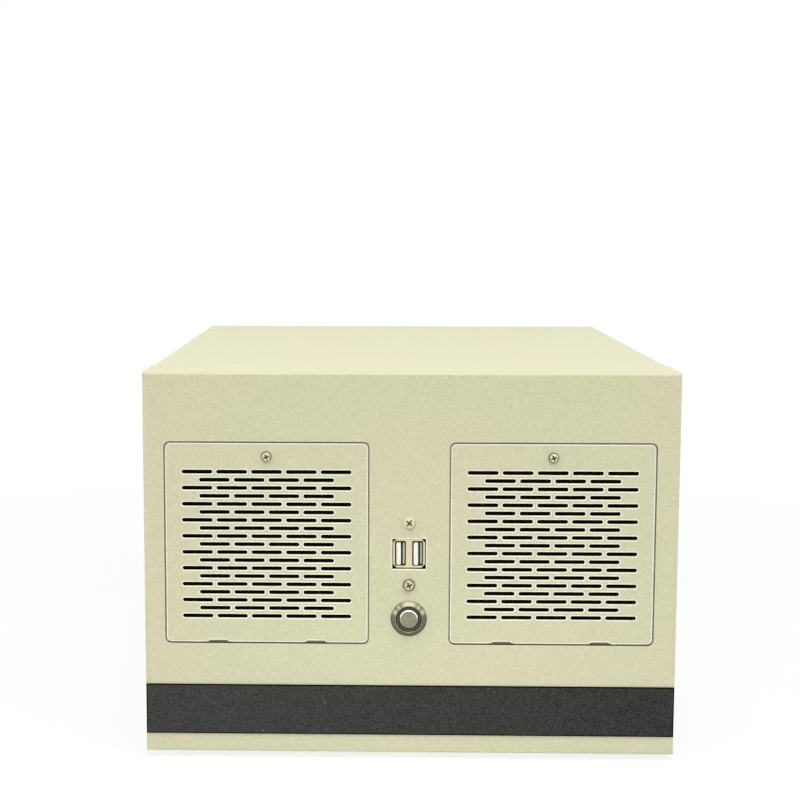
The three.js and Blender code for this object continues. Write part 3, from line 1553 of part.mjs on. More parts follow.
function cooler() {
  const fan = group(
    COOLER_X,
    COOLER_Y,
    SINK_TOP + FIT + COOLER_FAN_DEPTH,
    piece("cooler_fan", fanFrame(SINK_SIZE, COOLER_FAN_DEPTH), DARK_PLASTIC),
    piece("cooler_rotor", fanRotor(SINK_SIZE, COOLER_FAN_DEPTH), DARK_PLASTIC),
  );
  fan.rotation.x = -Math.PI / 2;
  return [piece("heat_sink", heatSink(), ALUMINIUM), fan];
}

function electronics() {
  const modules = memoryPlaces().map((y, i) =>
    piece(`memory_module_${i + 1}`, memoryModule(y), BOARD_GREEN),
  );
  const sockets = placedSockets().map((socket) =>
    piece(socket.name, rearSocket(socket), STAINLESS),
  );
  return [
    piece("main_board", mainBoard(), BOARD_GREEN),
    ...sockets,
    ...modules,
    piece("drive_shelf", driveShelf(), ZINC),
    piece("hard_drive", hardDrive(), ALUMINIUM),
  ];
}

const computer = new THREE.Group();
computer.name = "computer";
computer.add(
  group(
    0,
    -(DEPTH - BUTTON_PROUD) / 2,
    FOOT_HEIGHT,
    ...sheets(),
    ...feet(),
    intake("left", DOOR_X[0]),
    intake("right", DOOR_X[1]),
    ...usbSocket(),
    powerButton(),
    ...rearFittings(),
    ...powerSupply(),
    ...cooler(),
    ...electronics(),
  ),
);

export default computer;
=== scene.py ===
"""A folded-steel industrial computer that lies flat, dressed for its likeness over its solids.

Metres, in the frame of the solids: x across, y back, z up. Each sub-assembly is a class that models
its pieces and gives them their finishes; places come from the boxes of the solids.
"""

import json
import logging
import math
from contextlib import contextmanager
from dataclasses import dataclass
from enum import Enum
from functools import cache
from typing import Any, Callable, Iterator, Sequence

import bmesh
import bpy
from mathutils import Matrix, Vector

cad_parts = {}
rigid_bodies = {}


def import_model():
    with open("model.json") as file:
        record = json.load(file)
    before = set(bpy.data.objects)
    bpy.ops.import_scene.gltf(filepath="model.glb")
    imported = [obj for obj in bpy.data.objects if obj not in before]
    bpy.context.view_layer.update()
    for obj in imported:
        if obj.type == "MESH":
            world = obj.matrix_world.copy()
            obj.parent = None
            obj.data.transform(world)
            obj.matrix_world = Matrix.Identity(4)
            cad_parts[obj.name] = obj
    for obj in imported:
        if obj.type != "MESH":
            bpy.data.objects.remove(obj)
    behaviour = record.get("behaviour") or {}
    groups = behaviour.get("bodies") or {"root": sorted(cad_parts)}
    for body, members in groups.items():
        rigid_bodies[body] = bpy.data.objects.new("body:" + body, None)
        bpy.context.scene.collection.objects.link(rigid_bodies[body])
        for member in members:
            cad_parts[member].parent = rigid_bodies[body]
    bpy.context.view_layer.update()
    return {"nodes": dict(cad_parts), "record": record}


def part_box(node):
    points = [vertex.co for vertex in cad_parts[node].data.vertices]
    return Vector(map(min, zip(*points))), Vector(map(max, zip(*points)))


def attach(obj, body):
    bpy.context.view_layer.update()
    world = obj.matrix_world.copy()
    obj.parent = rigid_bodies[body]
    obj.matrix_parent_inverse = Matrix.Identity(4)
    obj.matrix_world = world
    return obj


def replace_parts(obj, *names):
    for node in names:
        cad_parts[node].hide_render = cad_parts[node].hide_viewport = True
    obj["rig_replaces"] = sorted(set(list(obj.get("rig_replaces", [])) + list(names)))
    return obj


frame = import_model()

log = logging.getLogger("computer")

MM = 0.001
SHEET = 1.2 * MM
# How far a cutter reaches to either side of a sheet's face.
REACH = 4 * SHEET
# The radius of a screw's hole in a sheet.
SCREW_HOLE = 1.8 * MM
# Vertices closer than this are one.
TOUCH = MM / 1000
# Edges sharper than this are creases, and faces that turn less than FLAT are one; in degrees.
CREASE = 35.0
FLAT = 0.5
# On a turned or folded piece, only edges sharper than this are rounded; in degrees.
BLUNT = 50.0
# Two directions whose cosine is over this are the same.
ALONG = 0.99
# How many finishes a piece has room for.
FINISHES = 3
# The bevel's profile of a rounded edge, and that of an edge that takes a flat band of painted
# highlight, which is nearly square.
ROUND_PROFILE = 0.5
HIGHLIGHT_BAND_PROFILE = 0.85


# ------------------------------------------------------------------ Named options


class Side(Enum):
    """The left or the right one of a pair, as one faces the front."""

    LEFT = "left"
    RIGHT = "right"

    @property
    def sign(self) -> int:
        """Return which way the side lies along x."""
        return 1 if self is Side.RIGHT else -1


class Axis(Enum):
    """The direction a round piece points, as the turn that brings a primitive's z to it."""

    X = (0.0, math.pi / 2, 0.0)
    Y = (math.pi / 2, 0.0, 0.0)


class Part(Enum):
    """What is selected in edit mode."""

    VERTEX = "VERT"
    EDGE = "EDGE"
    FACE = "FACE"


# ------------------------------------------------------------------ Places


@dataclass(frozen=True)
class Room:
    """The box that a solid fills.

    Attributes:
        low: its lowest corner.
        high: its highest corner.
    """

    low: Vector
    high: Vector

    @classmethod
    def of(cls, node: str) -> "Room":
        """Return the box round the named solid."""
        low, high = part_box(node)
        return cls(Vector(low), Vector(high))

    @property
    def middle(self) -> Vector:
        """The middle of the box."""
        return (self.low + self.high) / 2

    @property
    def size(self) -> Vector:
        """The lengths of its sides."""
        return self.high - self.low

    @property
    def front(self) -> Vector:
        """The middle of its front face."""
        return Vector((self.middle.x, self.low.y, self.middle.z))

    @property
    def rear(self) -> Vector:
        """The middle of its rear face."""
        return Vector((self.middle.x, self.high.y, self.middle.z))


# ------------------------------------------------------------------ Modelling


class Selection:
    """Picks faces and edges of the mesh in edit mode."""

    def __init__(self, piece: bpy.types.Object) -> None:
        """Hold the piece.

        Args:
            piece: the object in edit mode.
        """
        self.piece = piece

    def _pick(self, part: str, wanted: Callable[[Any], bool]) -> None:
        """Select the elements that are wanted, and only those.

        Args:
            part: faces or edges.
            wanted: tells whether an element is wanted.
        """
        bpy.ops.mesh.select_all(action="DESELECT")
        mesh = bmesh.from_edit_mesh(self.piece.data)
        mesh.normal_update()
        for item in getattr(mesh, part):
            if wanted(item):
                item.select_set(True)
        mesh.select_flush_mode()
        bmesh.update_edit_mesh(self.piece.data)

    def faces(self, wanted: Callable[[Any], bool]) -> None:
        """Select the wanted faces."""
        self._pick("faces", wanted)

    def edges(self, wanted: Callable[[Any], bool]) -> None:
        """Select the wanted edges."""
        self._pick("edges", wanted)

    def facing(self, x: float, y: float, z: float) -> None:
        """Select the faces that look the given way."""
        way = Vector((x, y, z)).normalized()
        self.faces(lambda face: face.normal.dot(way) > ALONG)

    def give(self, finish: int) -> None:
        """Give the selected faces the piece's finish of that number."""
        self.piece.active_material_index = finish
        bpy.ops.object.material_slot_assign()


class Bench:
    """Modelling by operator: primitives, edit-mode tools and applied modifiers."""

    @staticmethod
    def clear() -> None:
        """Deselect everything."""
        for thing in list(bpy.context.selected_objects):
            thing.select_set(False)

    @staticmethod
    def take(piece: bpy.types.Object) -> None:
        """Make a piece the only one selected, and active."""
        Bench.clear()
        piece.select_set(True)
        bpy.context.view_layer.objects.active = piece

    @staticmethod
    def added(name: str) -> bpy.types.Object:
        """Name the new primitive and put its place into its mesh."""
        bpy.ops.object.transform_apply(location=True, rotation=True, scale=True)
        return Bench.named(bpy.context.active_object, name)

    @staticmethod
    def block(name: str, low: Sequence[float], high: Sequence[float]) -> bpy.types.Object:
        """Add a block between two corners.

        Args:
            name: the object's name.
            low: its lowest corner.
            high: its highest corner.

        Returns:
            The new object.
        """
        low, high = Vector(low), Vector(high)
        Bench.clear()
        bpy.ops.mesh.primitive_cube_add(size=1, location=(low + high) / 2)
        bpy.context.active_object.scale = high - low
        return Bench.added(name)

    @staticmethod
    def plate(
        name: str, middle: Vector, width: float, height: float, near: float, far: float
    ) -> bpy.types.Object:
        """Add a block that looks to the front.

        Args:
            name: the object's name.
            middle: a point on the line along y through its middle.
            width: its length across.
            height: its height.
            near: how far its front lies behind the point.
            far: how far its back lies behind the point.

        Returns:
            The new object.
        """
        reach = Vector((width / 2, 0, height / 2))
        low = middle - reach + Vector((0, near, 0))
        high = middle + reach + Vector((0, far, 0))
        return Bench.block(name, low, high)

    @staticmethod
    def rod(
        name: str,
        middle: Sequence[float],
        radius: float,
        length: float,
        axis: Axis = Axis.Y,
        sides: int = 48,
    ) -> bpy.types.Object:
        """Add a round bar.

        Args:
            name: the object's name.
            middle: the middle of the bar.
            radius: its radius.
            length: its length.
            axis: the way it points.
            sides: how many sides it has.

        Returns:
            The new object.
        """
        Bench.clear()
        bpy.ops.mesh.primitive_cylinder_add(
            vertices=sides, radius=radius, depth=length, location=middle, rotation=axis.value
        )
        return Bench.added(name)

    @staticmethod
    def ring(name: str, middle: Sequence[float], radius: float, wire: float) -> bpy.types.Object:
        """Add a ring of round wire about a line along y.

        Args:
            name: the object's name.
            middle: the ring's middle.
            radius: the radius of the wire's middle line.
            wire: the wire's diameter.

        Returns:
            The new object.
        """
        Bench.clear()
        bpy.ops.mesh.primitive_torus_add(
            major_radius=radius,
            minor_radius=wire / 2,
            major_segments=64,
            minor_segments=10,
            location=middle,
            rotation=Axis.Y.value,
        )
        return Bench.added(name)

    @staticmethod
    @contextmanager
    def editing(piece: bpy.types.Object, part: Part = Part.FACE) -> Iterator[Selection]:
        """Open a piece in edit mode with nothing selected.

        Args:
            piece: the object to edit.
            part: what is selected by.

        Yields:
            The selection to pick with.
        """
        Bench.take(piece)
        bpy.ops.object.mode_set(mode="EDIT")
        bpy.ops.mesh.select_mode(type=part.value)
        bpy.ops.mesh.select_all(action="DESELECT")
        try:
            yield Selection(piece)
        finally:
            bpy.ops.object.mode_set(mode="OBJECT")

    @staticmethod
    def modify(piece: bpy.types.Object, kind: str, **settings: Any) -> bpy.types.Object:
        """Apply a modifier to a piece.

        Args:
            piece: the object.
            kind: the modifier's type.
            settings: the modifier's own settings.

        Returns:
            The same object.
        """
        Bench.take(piece)
        modifier = piece.modifiers.new(kind.title(), kind)
        for name, value in settings.items():
            setattr(modifier, name, value)
        bpy.ops.object.modifier_apply(modifier=modifier.name)
        return piece

    @staticmethod
    def cut(
        piece: bpy.types.Object, *tools: bpy.types.Object, finish: int = 0
    ) -> bpy.types.Object:
        """Take tools out of a piece; the tools are used up.

        Args:
            piece: the object that is cut.
            tools: closed objects, clear of each other.
            finish: which of the piece's finishes the faces that the cut makes take.

        Returns:
            The cut object.
        """
        tool = Bench.merge("tool", *tools)
        if finish:
            Bench.finish_room(piece)
            Bench.finish_room(tool)
            for face in tool.data.polygons:
                face.material_index = finish
        Bench.modify(piece, "BOOLEAN", operation="DIFFERENCE", solver="EXACT", object=tool)
        bpy.data.objects.remove(tool)
        return piece

    @staticmethod
    def merge(name: str, *pieces: bpy.types.Object) -> bpy.types.Object:
        """Join pieces into one object without touching their meshes.

        Args:
            name: the joined object's name.
            pieces: the objects to join.

        Returns:
            The joined object.
        """
        Bench.take(pieces[0])
        for piece in pieces[1:]:
            piece.select_set(True)
        if len(pieces) > 1:
            bpy.ops.object.join()
        return Bench.named(bpy.context.active_object, name)

    @staticmethod
    def named(piece: bpy.types.Object, name: str) -> bpy.types.Object:
        """Give a piece and its mesh a name, and return the piece."""
        piece.name = piece.data.name = name
        return piece

    @staticmethod
    def copy(piece: bpy.types.Object, name: str, by: Sequence[float]) -> bpy.types.Object:
        """Copy a piece with its own mesh and shift the copy.

        Args:
            piece: the object to copy.
            name: the copy's name.
            by: how far the copy is shifted.

        Returns:
            The copy.
        """
        twin = piece.copy()
        twin.data = piece.data.copy()
        twin.data.transform(Matrix.Translation(Vector(by)))
        bpy.context.scene.collection.objects.link(twin)
        return Bench.named(twin, name)

    @staticmethod
    def pair(
        left: bpy.types.Object, name: str, by: Sequence[float]
    ) -> list[tuple[str, bpy.types.Object]]:
        """Copy a left piece to the right and name both.

        Args:
            left: the left piece.
            name: the name of both, with braces where the side goes.
            by: how far the right one lies from the left one.

        Returns:
            Each side's word and its piece.
        """
        first, second = (side.value for side in Side)
        right = Bench.copy(left, name.format(second), by)
        return [(first, Bench.named(left, name.format(first))), (second, right)]

    @staticmethod
    def round_edges(
        piece: bpy.types.Object,
        width: float,
        steps: int = 2,
        crease: float = CREASE,
        finish: int = -1,
        worn: bool = False,
    ) -> bpy.types.Object:
        """Round every sharp edge a little.

        Args:
            piece: the object.
            width: the bevel's width.
            steps: how many faces the bevel has.
            crease: the least angle of an edge that is rounded, in degrees.
            finish: which of the piece's finishes the rounded faces take, or -1 for their own.
            worn: whether the finish reaches out flat beside an edge that is hardly rounded.

        Returns:
            The same object.
        """
        Bench.finish_room(piece)
        return Bench.modify(
            piece,
            "BEVEL",
            width=width,
            segments=steps,
            limit_method="ANGLE",
            angle_limit=math.radians(crease),
            miter_outer="MITER_SHARP",
            use_clamp_overlap=not worn,
            profile=HIGHLIGHT_BAND_PROFILE if worn else ROUND_PROFILE,
            material=finish,
        )

    @staticmethod
    def finish_room(piece: bpy.types.Object) -> None:
        """Give a piece room for its finishes."""
        while len(piece.data.materials) < FINISHES:
            piece.data.materials.append(None)

    @staticmethod
    def paint(piece: bpy.types.Object, *finishes: "Finish") -> None:
        """Give a piece its finishes.

        Args:
            piece: the object.
            finishes: in the order that its faces number them.
        """
        Bench.finish_room(piece)
        for index, finish in enumerate(finishes):
            piece.data.materials[index] = finish.material()
        while not piece.data.materials[-1]:
            piece.data.materials.pop()

    @staticmethod
    def turned(
        name: str, middle: Sequence[float], profile: Sequence[tuple[float, float]], steps: int = 64
    ) -> bpy.types.Object:
        """Spin a profile about a line along y.

        Args:
            name: the object's name.
            middle: a point on the line, from which the profile is measured.
            profile: radius and depth of each point, from the front of the axis to its back.
            steps: how many steps the turn has.

        Returns:
            The new closed object.
        """
        middle = Vector(middle)
        Bench.clear()
        bpy.ops.mesh.primitive_plane_add(size=MM, location=middle)
        piece = Bench.added(name)
        with Bench.editing(piece, Part.VERTEX):
            mesh = bmesh.from_edit_mesh(piece.data)
            bmesh.ops.delete(mesh, geom=mesh.verts, context="VERTS")
            points = [mesh.verts.new(middle + Vector((radius, depth, 0))) for radius, depth in profile]
            for near, far in zip(points, points[1:]):
                mesh.edges.new((near, far))
            bmesh.update_edit_mesh(piece.data)
            bpy.ops.mesh.select_all(action="SELECT")
            bpy.ops.mesh.spin(steps=steps, angle=math.tau, center=middle, axis=(0, 1, 0))
            bpy.ops.mesh.select_all(action="SELECT")
            bpy.ops.mesh.remove_doubles(threshold=TOUCH)
            bpy.ops.mesh.normals_make_consistent(inside=False)
        return piece

    @staticmethod
    def done(
        piece: bpy.types.Object,
        finish: "Finish",
        body: str,
        *nodes: str,
        crease: float = CREASE,
        more: "Sequence[Finish]" = (),
    ) -> bpy.types.Object:
        """Give a modelled piece its shading, finish and body.

        Args:
            piece: the object.
            finish: what it is made of.
            body: the body that it moves with.
            nodes: the solids that it stands for.
            crease: edges sharper than this stay sharp, in degrees.
            more: the finishes of the faces that were set apart.

        Returns:
            The same object.
        """
        Bench.take(piece)
        bpy.ops.object.shade_smooth_by_angle(angle=math.radians(crease))
        Bench.modify(piece, "WEIGHTED_NORMAL", mode="FACE_AREA", keep_sharp=True)
        Bench.paint(piece, finish, *more)
        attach(piece, body)
        if nodes:
            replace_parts(piece, *nodes)
        log.info("%s: %d faces, %s", piece.name, len(piece.data.polygons), finish.name)
        return piece


# ------------------------------------------------------------------ Shading


# A wire or a plain value.
Value = Any
# The places of a Mix node's share and of its two colours among its inputs.
MIX_INPUTS = (0, 6, 7)


class Wire:
    """A number or vector that flows between nodes, with arithmetic."""

    def __init__(self, nodes: "Nodes", socket: bpy.types.NodeSocket) -> None:
        """Hold a node's output.

        Args:
            nodes: the tree that the node is in.
            socket: the output.
        """
        self.nodes = nodes
        self.socket = socket

    def _math(self, operation: str, *values: Value) -> "Wire":
        """Add a Math node and return its output."""
        return self.nodes.math(operation, *values)

    def __add__(self, other: Value) -> "Wire":
        """Add."""
        return self._math("ADD", self, other)

    def __sub__(self, other: Value) -> "Wire":
        """Subtract."""
        return self._math("SUBTRACT", self, other)

    def __rsub__(self, other: Value) -> "Wire":
        """Subtract from."""
        return self._math("SUBTRACT", other, self)

    def __mul__(self, other: Value) -> "Wire":
        """Multiply."""
        return self._math("MULTIPLY", self, other)

    def __truediv__(self, other: Value) -> "Wire":
        """Divide."""
        return self._math("DIVIDE", self, other)

    def wave(self) -> "Wire":
        """Return the sine."""
        return self._math("SINE", self)

    def root(self) -> "Wire":
        """Return the square root."""
        return self._math("SQRT", self)

    def ramp(self, low: float, high: float) -> "Wire":
        """Rise smoothly from 0 to 1 between two values.

        Args:
            low: where it is 0.
            high: where it is 1.

        Returns:
            The result.
        """
        return self.nodes.node(
            "ShaderNodeMapRange",
            {"interpolation_type": "SMOOTHSTEP"},
            {"Value": self, "From Min": low, "From Max": high},
        ).out("Result")


class Made:
    """A node that has been made."""

    def __init__(self, nodes: "Nodes", node: bpy.types.Node) -> None:
        """Hold the node.

        Args:
            nodes: the tree that the node is in.
            node: the node.
        """
        self.nodes = nodes
        self.node = node

    def out(self, name: str | int = 0) -> Wire:
        """Return one of its outputs by name or number."""
        return Wire(self.nodes, self.node.outputs[name])


def linear(colour: str) -> tuple[float, float, float, float]:
    """Turn a colour written as six hex digits into the renderer's own values.

    Args:
        colour: the colour, such as d3d2b0.

    Returns:
        Red, green, blue and alpha.
    """
    parts = [int(colour[i : i + 2], 16) / 255 for i in (0, 2, 4)]
    bent = [part / 12.92 if part <= 0.04045 else ((part + 0.055) / 1.055) ** 2.4 for part in parts]
    return (*bent, 1.0)


class Nodes:
    """Adds nodes to a tree and links them."""

    def __init__(self, tree: bpy.types.NodeTree) -> None:
        """Hold the tree."""
        self.tree = tree

    def node(
        self,
        kind: str,
        settings: dict[str, Any] | None = None,
        inputs: dict[str | int, Value] | None = None,
    ) -> Made:
        """Add a node.

        Args:
            kind: the node's type.
            settings: its own properties.
            inputs: wires or plain values for its inputs, by name or number.

        Returns:
            The node that was made.
        """
        node = self.tree.nodes.new(kind)
        for name, value in (settings or {}).items():
            setattr(node, name, value)
        for name, value in (inputs or {}).items():
            self.feed(node.inputs[name], value)
        return Made(self, node)

    def feed(self, socket: bpy.types.NodeSocket, value: Value) -> None:
        """Link a wire to an input, or set its own value.

        Args:
            socket: the input.
            value: a wire or a plain value.
        """
        if isinstance(value, Wire):
            self.tree.links.new(value.socket, socket)
        else:
            socket.default_value = value

    def math(self, operation: str, *values: Value) -> Wire:
        """Add a Math node and return its output."""
        settings = {"operation": operation}
        return self.node("ShaderNodeMath", settings, dict(enumerate(values))).out()

    def seen(self) -> Wire:
        """Return 1 on rays of the camera, mirrors and glass, and 0 on those that light things."""
        path = self.node("ShaderNodeLightPath")
        mirrored = self.math("MAXIMUM", path.out("Is Camera Ray"), path.out("Is Glossy Ray"))
        return self.math("MAXIMUM", mirrored, path.out("Is Transmission Ray"))


class Shader(Nodes):
    """Builds one material's nodes."""

    def __init__(self, name: str) -> None:
        """Start a material with its surface shader.

        Args:
            name: the material's name.
        """
        self.material = bpy.data.materials.new(name)
        self.material.use_nodes = True
        super().__init__(self.material.node_tree)
        self.tree.nodes.clear()
        self.output = self.node("ShaderNodeOutputMaterial").node
        self.surface = self.node("ShaderNodeBsdfPrincipled").node
        self.tree.links.new(self.surface.outputs[0], self.output.inputs[0])

    def place(self) -> tuple[Wire, Wire, Wire]:
        """Return x, y and z of the shaded point."""
        split = self.node("ShaderNodeSeparateXYZ", None, {0: self.spot()})
        return split.out(0), split.out(1), split.out(2)

    def spot(self) -> Wire:
        """Return the shaded point."""
        return self.node("ShaderNodeTexCoord").out("Object")

    def stretched(self, x: float, y: float, z: float) -> Wire:
        """Return the shaded point with its axes scaled."""
        inputs = {"Vector": self.spot(), "Scale": (x, y, z)}
        return self.node("ShaderNodeMapping", None, inputs).out()

    def noise(self, scale: float, detail: float = 2.0, point: Wire | None = None) -> Wire:
        """Add smooth noise.

        Args:
            scale: how many features there are in a metre.
            detail: how many finer layers it has.
            point: where it is read, or the shaded point.

        Returns:
            The noise, from 0 to 1.
        """
        inputs = {"Vector": point or self.spot(), "Scale": scale, "Detail": detail}
        return self.node("ShaderNodeTexNoise", None, inputs).out("Fac")

    def cells(self, scale: float) -> Made:
        """Return scattered points' cells: the distance to the nearest point, and its colour."""
        return self.node("ShaderNodeTexVoronoi", None, {"Vector": self.spot(), "Scale": scale})

    def mix(self, share: Value, low: Value, high: Value) -> Wire:
        """Mix two colours.

        Args:
            share: 0 for the first, 1 for the second.
            low: the first colour.
            high: the second colour.

        Returns:
            The mixed colour.
        """
        inputs = dict(zip(MIX_INPUTS, (share, low, high)))
        return self.node("ShaderNodeMix", {"data_type": "RGBA"}, inputs).out(2)

    def shaded(self, colour: Value, level: Value) -> Wire:
        """Multiply a colour by a level."""
        inputs = {0: colour, "Scale": level}
        return self.node("ShaderNodeVectorMath", {"operation": "SCALE"}, inputs).out()

    def bump(self, height: Wire, distance: float, strength: float = 0.5) -> None:
        """Raise the surface by a height.

        Args:
            height: the height, about 0 to 1.
            distance: how high 1 is, in metres.
            strength: the share of it that shows.
        """
        inputs = {"Height": height, "Distance": distance, "Strength": strength}
        self.set(Normal=self.node("ShaderNodeBump", None, inputs).out())

    def set(self, **inputs: Value) -> None:
        """Feed the surface shader; an underscore stands for a space in an input's name."""
        for name, value in inputs.items():
            self.feed(self.surface.inputs[name.replace("_", " ")], value)


# ------------------------------------------------------------------ Finishes


@dataclass(frozen=True)
class Finish:
    """What a surface is made of.

    Attributes:
        name: the material's name.
        colour: its colour as six hex digits.
        slot: the record's material slot.
        roughness: how matt it is.
    """

    name: str
    colour: str
    slot: str
    roughness: float

    @cache
    def material(self) -> bpy.types.Material:
        """Return the material, which is made once."""
        shader = Shader(self.name)
        self.dress(shader)
        return shader.material

    def dress(self, shader: Shader) -> None:
        """Build the nodes, which each kind of finish has of its own.

        Args:
            shader: the shader to build in.
        """
        raise NotImplementedError

    def plain(self) -> tuple[float, ...]:
        """Return its red, green and blue."""
        return linear(self.colour)[:3]

    @staticmethod
    def mottled(shader: Shader, colour: Value, noise: Wire, share: float) -> Wire:
        """Make a colour lighter and darker by a noise.

        Args:
            shader: the shader to build in.
            colour: the colour.
            noise: about 0 to 1.
            share: how far the colour goes each way.

        Returns:
            The mottled colour.
        """
        return shader.shaded(colour, (noise - 0.5) * (2 * share) + 1.0)

    def uneven(self, noise: Wire, spread: float) -> Wire:
        """Return its roughness, which a noise from 0 to 1 spreads about its own value."""
        return noise * spread + (self.roughness - spread / 2)


@dataclass(frozen=True)
class PaintedSteel(Finish):
    """Baked enamel with a fine grain, and slow changes of warmth.

    Attributes:
        warm: the colour of its warmer patches.
        grain: how many grains there are in a metre.
        depth: how deep the grain is.
        speckle: how far the grains differ in lightness.
        patches: how many warmer patches there are in a metre.
    """

    warm: str = "d5d1b0"
    grain: float = 1100.0
    depth: float = 0.05 * MM
    speckle: float = 0.055
    patches: float = 11.0

    def dress(self, shader: Shader) -> None:
        """Give the grain, the warmer patches and an uneven gloss.

        Args:
            shader: the shader to build in.
        """
        fine = shader.noise(self.grain).ramp(0.3, 0.7)
        broad = shader.noise(self.patches).ramp(0.42, 0.62)
        tint = shader.mix(broad, linear(self.colour), linear(self.warm))
        shader.set(
            Base_Color=self.mottled(shader, tint, fine, self.speckle),
            Roughness=self.uneven(fine, 0.1),
        )
        shader.bump(fine, self.depth)


@dataclass(frozen=True)
class BandFilm(Finish):
    """Flat dark film with a speckle, dust on its left half, and painted shade towards its right end.

    Attributes:
        gloss: its level of specular reflection.
        dust: how plainly the dust shows.
        grain: how many speckles there are in a metre.
        patches: how many paler and darker patches there are in a metre.
        motes: how many places for a grain of dust there are in a metre.
        fade: how much darker its right end is painted than its left one.
        half: how far its ends lie from the middle.
        dusty: where the dust begins to thin out, and where it has gone.
    """

    gloss: float = 0.22
    dust: float = 1.0
    grain: float = 1700.0
    patches: float = 16.0
    motes: float = 190.0
    fade: float = 0.38
    half: float = 133.3 * MM
    dusty: tuple[float, float] = (-100.0 * MM, -11.0 * MM)

    def dress(self, shader: Shader) -> None:
        """Give the speckle, slow changes of lightness, painted shade towards the right end and grains
        of dust.

        Args:
            shader: the shader to build in.
        """
        x, _, _ = shader.place()
        speckle = shader.noise(self.grain).ramp(0.3, 0.7)
        broad = shader.noise(self.patches)
        # Painted shade: the film is darker towards its right end.
        fade = x.ramp(-self.half, self.half) * self.fade
        level = (speckle - 0.5) * 1.25 + (broad - 0.5) * 0.3 + (1.12 - fade)
        film = shader.shaded(self.plain(), level)
        cells = shader.cells(self.motes)
        rare = shader.node("ShaderNodeSeparateColor", None, {0: cells.out("Color")}).out(0)
        near = 1.0 - cells.out("Distance").ramp(0.05, 0.11)
        dust = near * rare.ramp(0.84, 0.92) * (1.0 - x.ramp(*self.dusty))
        shader.set(
            Base_Color=shader.mix(dust * self.dust, film, linear("b9b8ae")),
            Roughness=self.uneven(broad, 0.1),
            Specular_IOR_Level=self.gloss,
        )
        shader.bump(speckle, 0.02 * MM, 0.4)


@dataclass(frozen=True)
class PlatedSteel(Finish):
    """Zinc plate, drawn one way in rolling, with clouds in its gloss.

    Attributes:
        lines: how many rolling lines lie end to end in a metre.
        drawn: how many times as long as wide the lines are.
        clouds: how many clouds there are in a metre.
    """

    lines: float = 60.0
    drawn: float = 30.0
    clouds: float = 45.0

    def dress(self, shader: Shader) -> None:
        """Give the rolling lines and the clouds.

        Args:
            shader: the shader to build in.
        """
        lines = shader.noise(self.lines, 4.0, shader.stretched(1.0, self.drawn, self.drawn))
        clouds = shader.noise(self.clouds, 3.0)
        shader.set(
            Base_Color=self.mottled(shader, self.plain(), clouds, 0.12),
            Metallic=1.0,
            Roughness=self.uneven(clouds, 0.16),
        )
        shader.bump(lines, 0.02 * MM)


@dataclass(frozen=True)
class TurnedSteel(Finish):
    """Steel turned on a lathe about a line along y, with stains along its radii and painted shade at
    its rim.

    Attributes:
        x: where the line lies across.
        z: how high it lies.
        dark: the colour of its stains and of the painted shade at its rim.
        rim: the radii between which the painted shade at the rim sets in.
        stain: how far its stains darken it.
        groove: from groove to groove.
        groove_depth: how deep the grooves are.
        streaks: how often broad and narrow stains come round the line.
        spots: how many small stains there are in a metre.
        grain: how many grains its gloss has in a metre.
    """

    x: float = 0.0
    z: float = 0.0
    dark: str = "5c5a49"
    rim: tuple[float, float] = (8.0 * MM, 9.0 * MM)
    stain: float = 0.6
    groove: float = 0.24 * MM
    groove_depth: float = 0.008 * MM
    streaks: tuple[float, float] = (1.6, 6.0)
    spots: float = 420.0
    grain: float = 900.0

    def dress(self, shader: Shader) -> None:
        """Give stains, painted shade at the rim and fine grooves.

        Args:
            shader: the shader to build in.
        """
        x, _, z = shader.place()
        across, up = x - self.x, z - self.z
        radius = (across * across + up * up).root() + TOUCH
        way = shader.node("ShaderNodeCombineXYZ", None, {0: across / radius, 1: up / radius}).out()
        broad = shader.noise(self.streaks[0], point=way).ramp(0.5, 0.62)
        narrow = shader.noise(self.streaks[1], point=way).ramp(0.48, 0.7)
        spots = shader.noise(self.spots).ramp(0.42, 0.7)
        # The stains are random; the darkening towards the rim is painted shade.
        share = (broad * narrow + spots * 0.25) * self.stain + radius.ramp(*self.rim) * 0.8
        rough = shader.noise(self.grain, 3.0)
        shader.set(
            Base_Color=shader.mix(share.ramp(0.0, 1.0), linear(self.colour), linear(self.dark)),
            Metallic=1.0,
            Roughness=self.uneven(rough, 0.14) + share * 0.1,
        )
        grooves = (radius * (math.tau / self.groove)).wave() * 0.5 + 0.5
        shader.bump(grooves + rough * 0.2, self.groove_depth, 1.0)


@dataclass(frozen=True)
class Moulding(Finish):
    """Moulded plastic with a fine spark-eroded texture.

    Attributes:
        grain: how many grains there are in a metre.
        detail: how many finer layers the grain has.
        mottle: how far the grains differ in lightness.
        spread: how far they differ in roughness.
        depth: how deep they are.
        strength: the share of that depth that shows.
    """

    grain: float = 1800.0
    detail: float = 2.0
    mottle: float = 0.05
    spread: float = 0.1
    depth: float = 0.03 * MM
    strength: float = 0.5

    def dress(self, shader: Shader) -> None:
        """Give the texture.

        Args:
            shader: the shader to build in.
        """
        fine = shader.noise(self.grain, self.detail)
        shader.set(
            Base_Color=self.mottled(shader, self.plain(), fine, self.mottle),
            Roughness=self.uneven(fine, self.spread),
        )
        shader.bump(fine, self.depth, self.strength)


@dataclass(frozen=True)
class Foam(Finish):
    """Open-cell filter foam.

    Attributes:
        cells: how many pores there are in a metre.
        depth: how deep they are.
    """

    cells: float = 650.0
    depth: float = 0.5 * MM

    def dress(self, shader: Shader) -> None:
        """Give pores darkened as painted shade between pale strands.

        Args:
            shader: the shader to build in.
        """
        # Painted shade: the middles of the pores are darker than the strands.
        pores = shader.cells(self.cells).out("Distance")
        shader.set(
            Base_Color=shader.shaded(self.plain(), pores * 1.6 + 0.3),
            Roughness=self.roughness,
            Specular_IOR_Level=0.0,
        )
        shader.bump(pores, self.depth, 1.0)


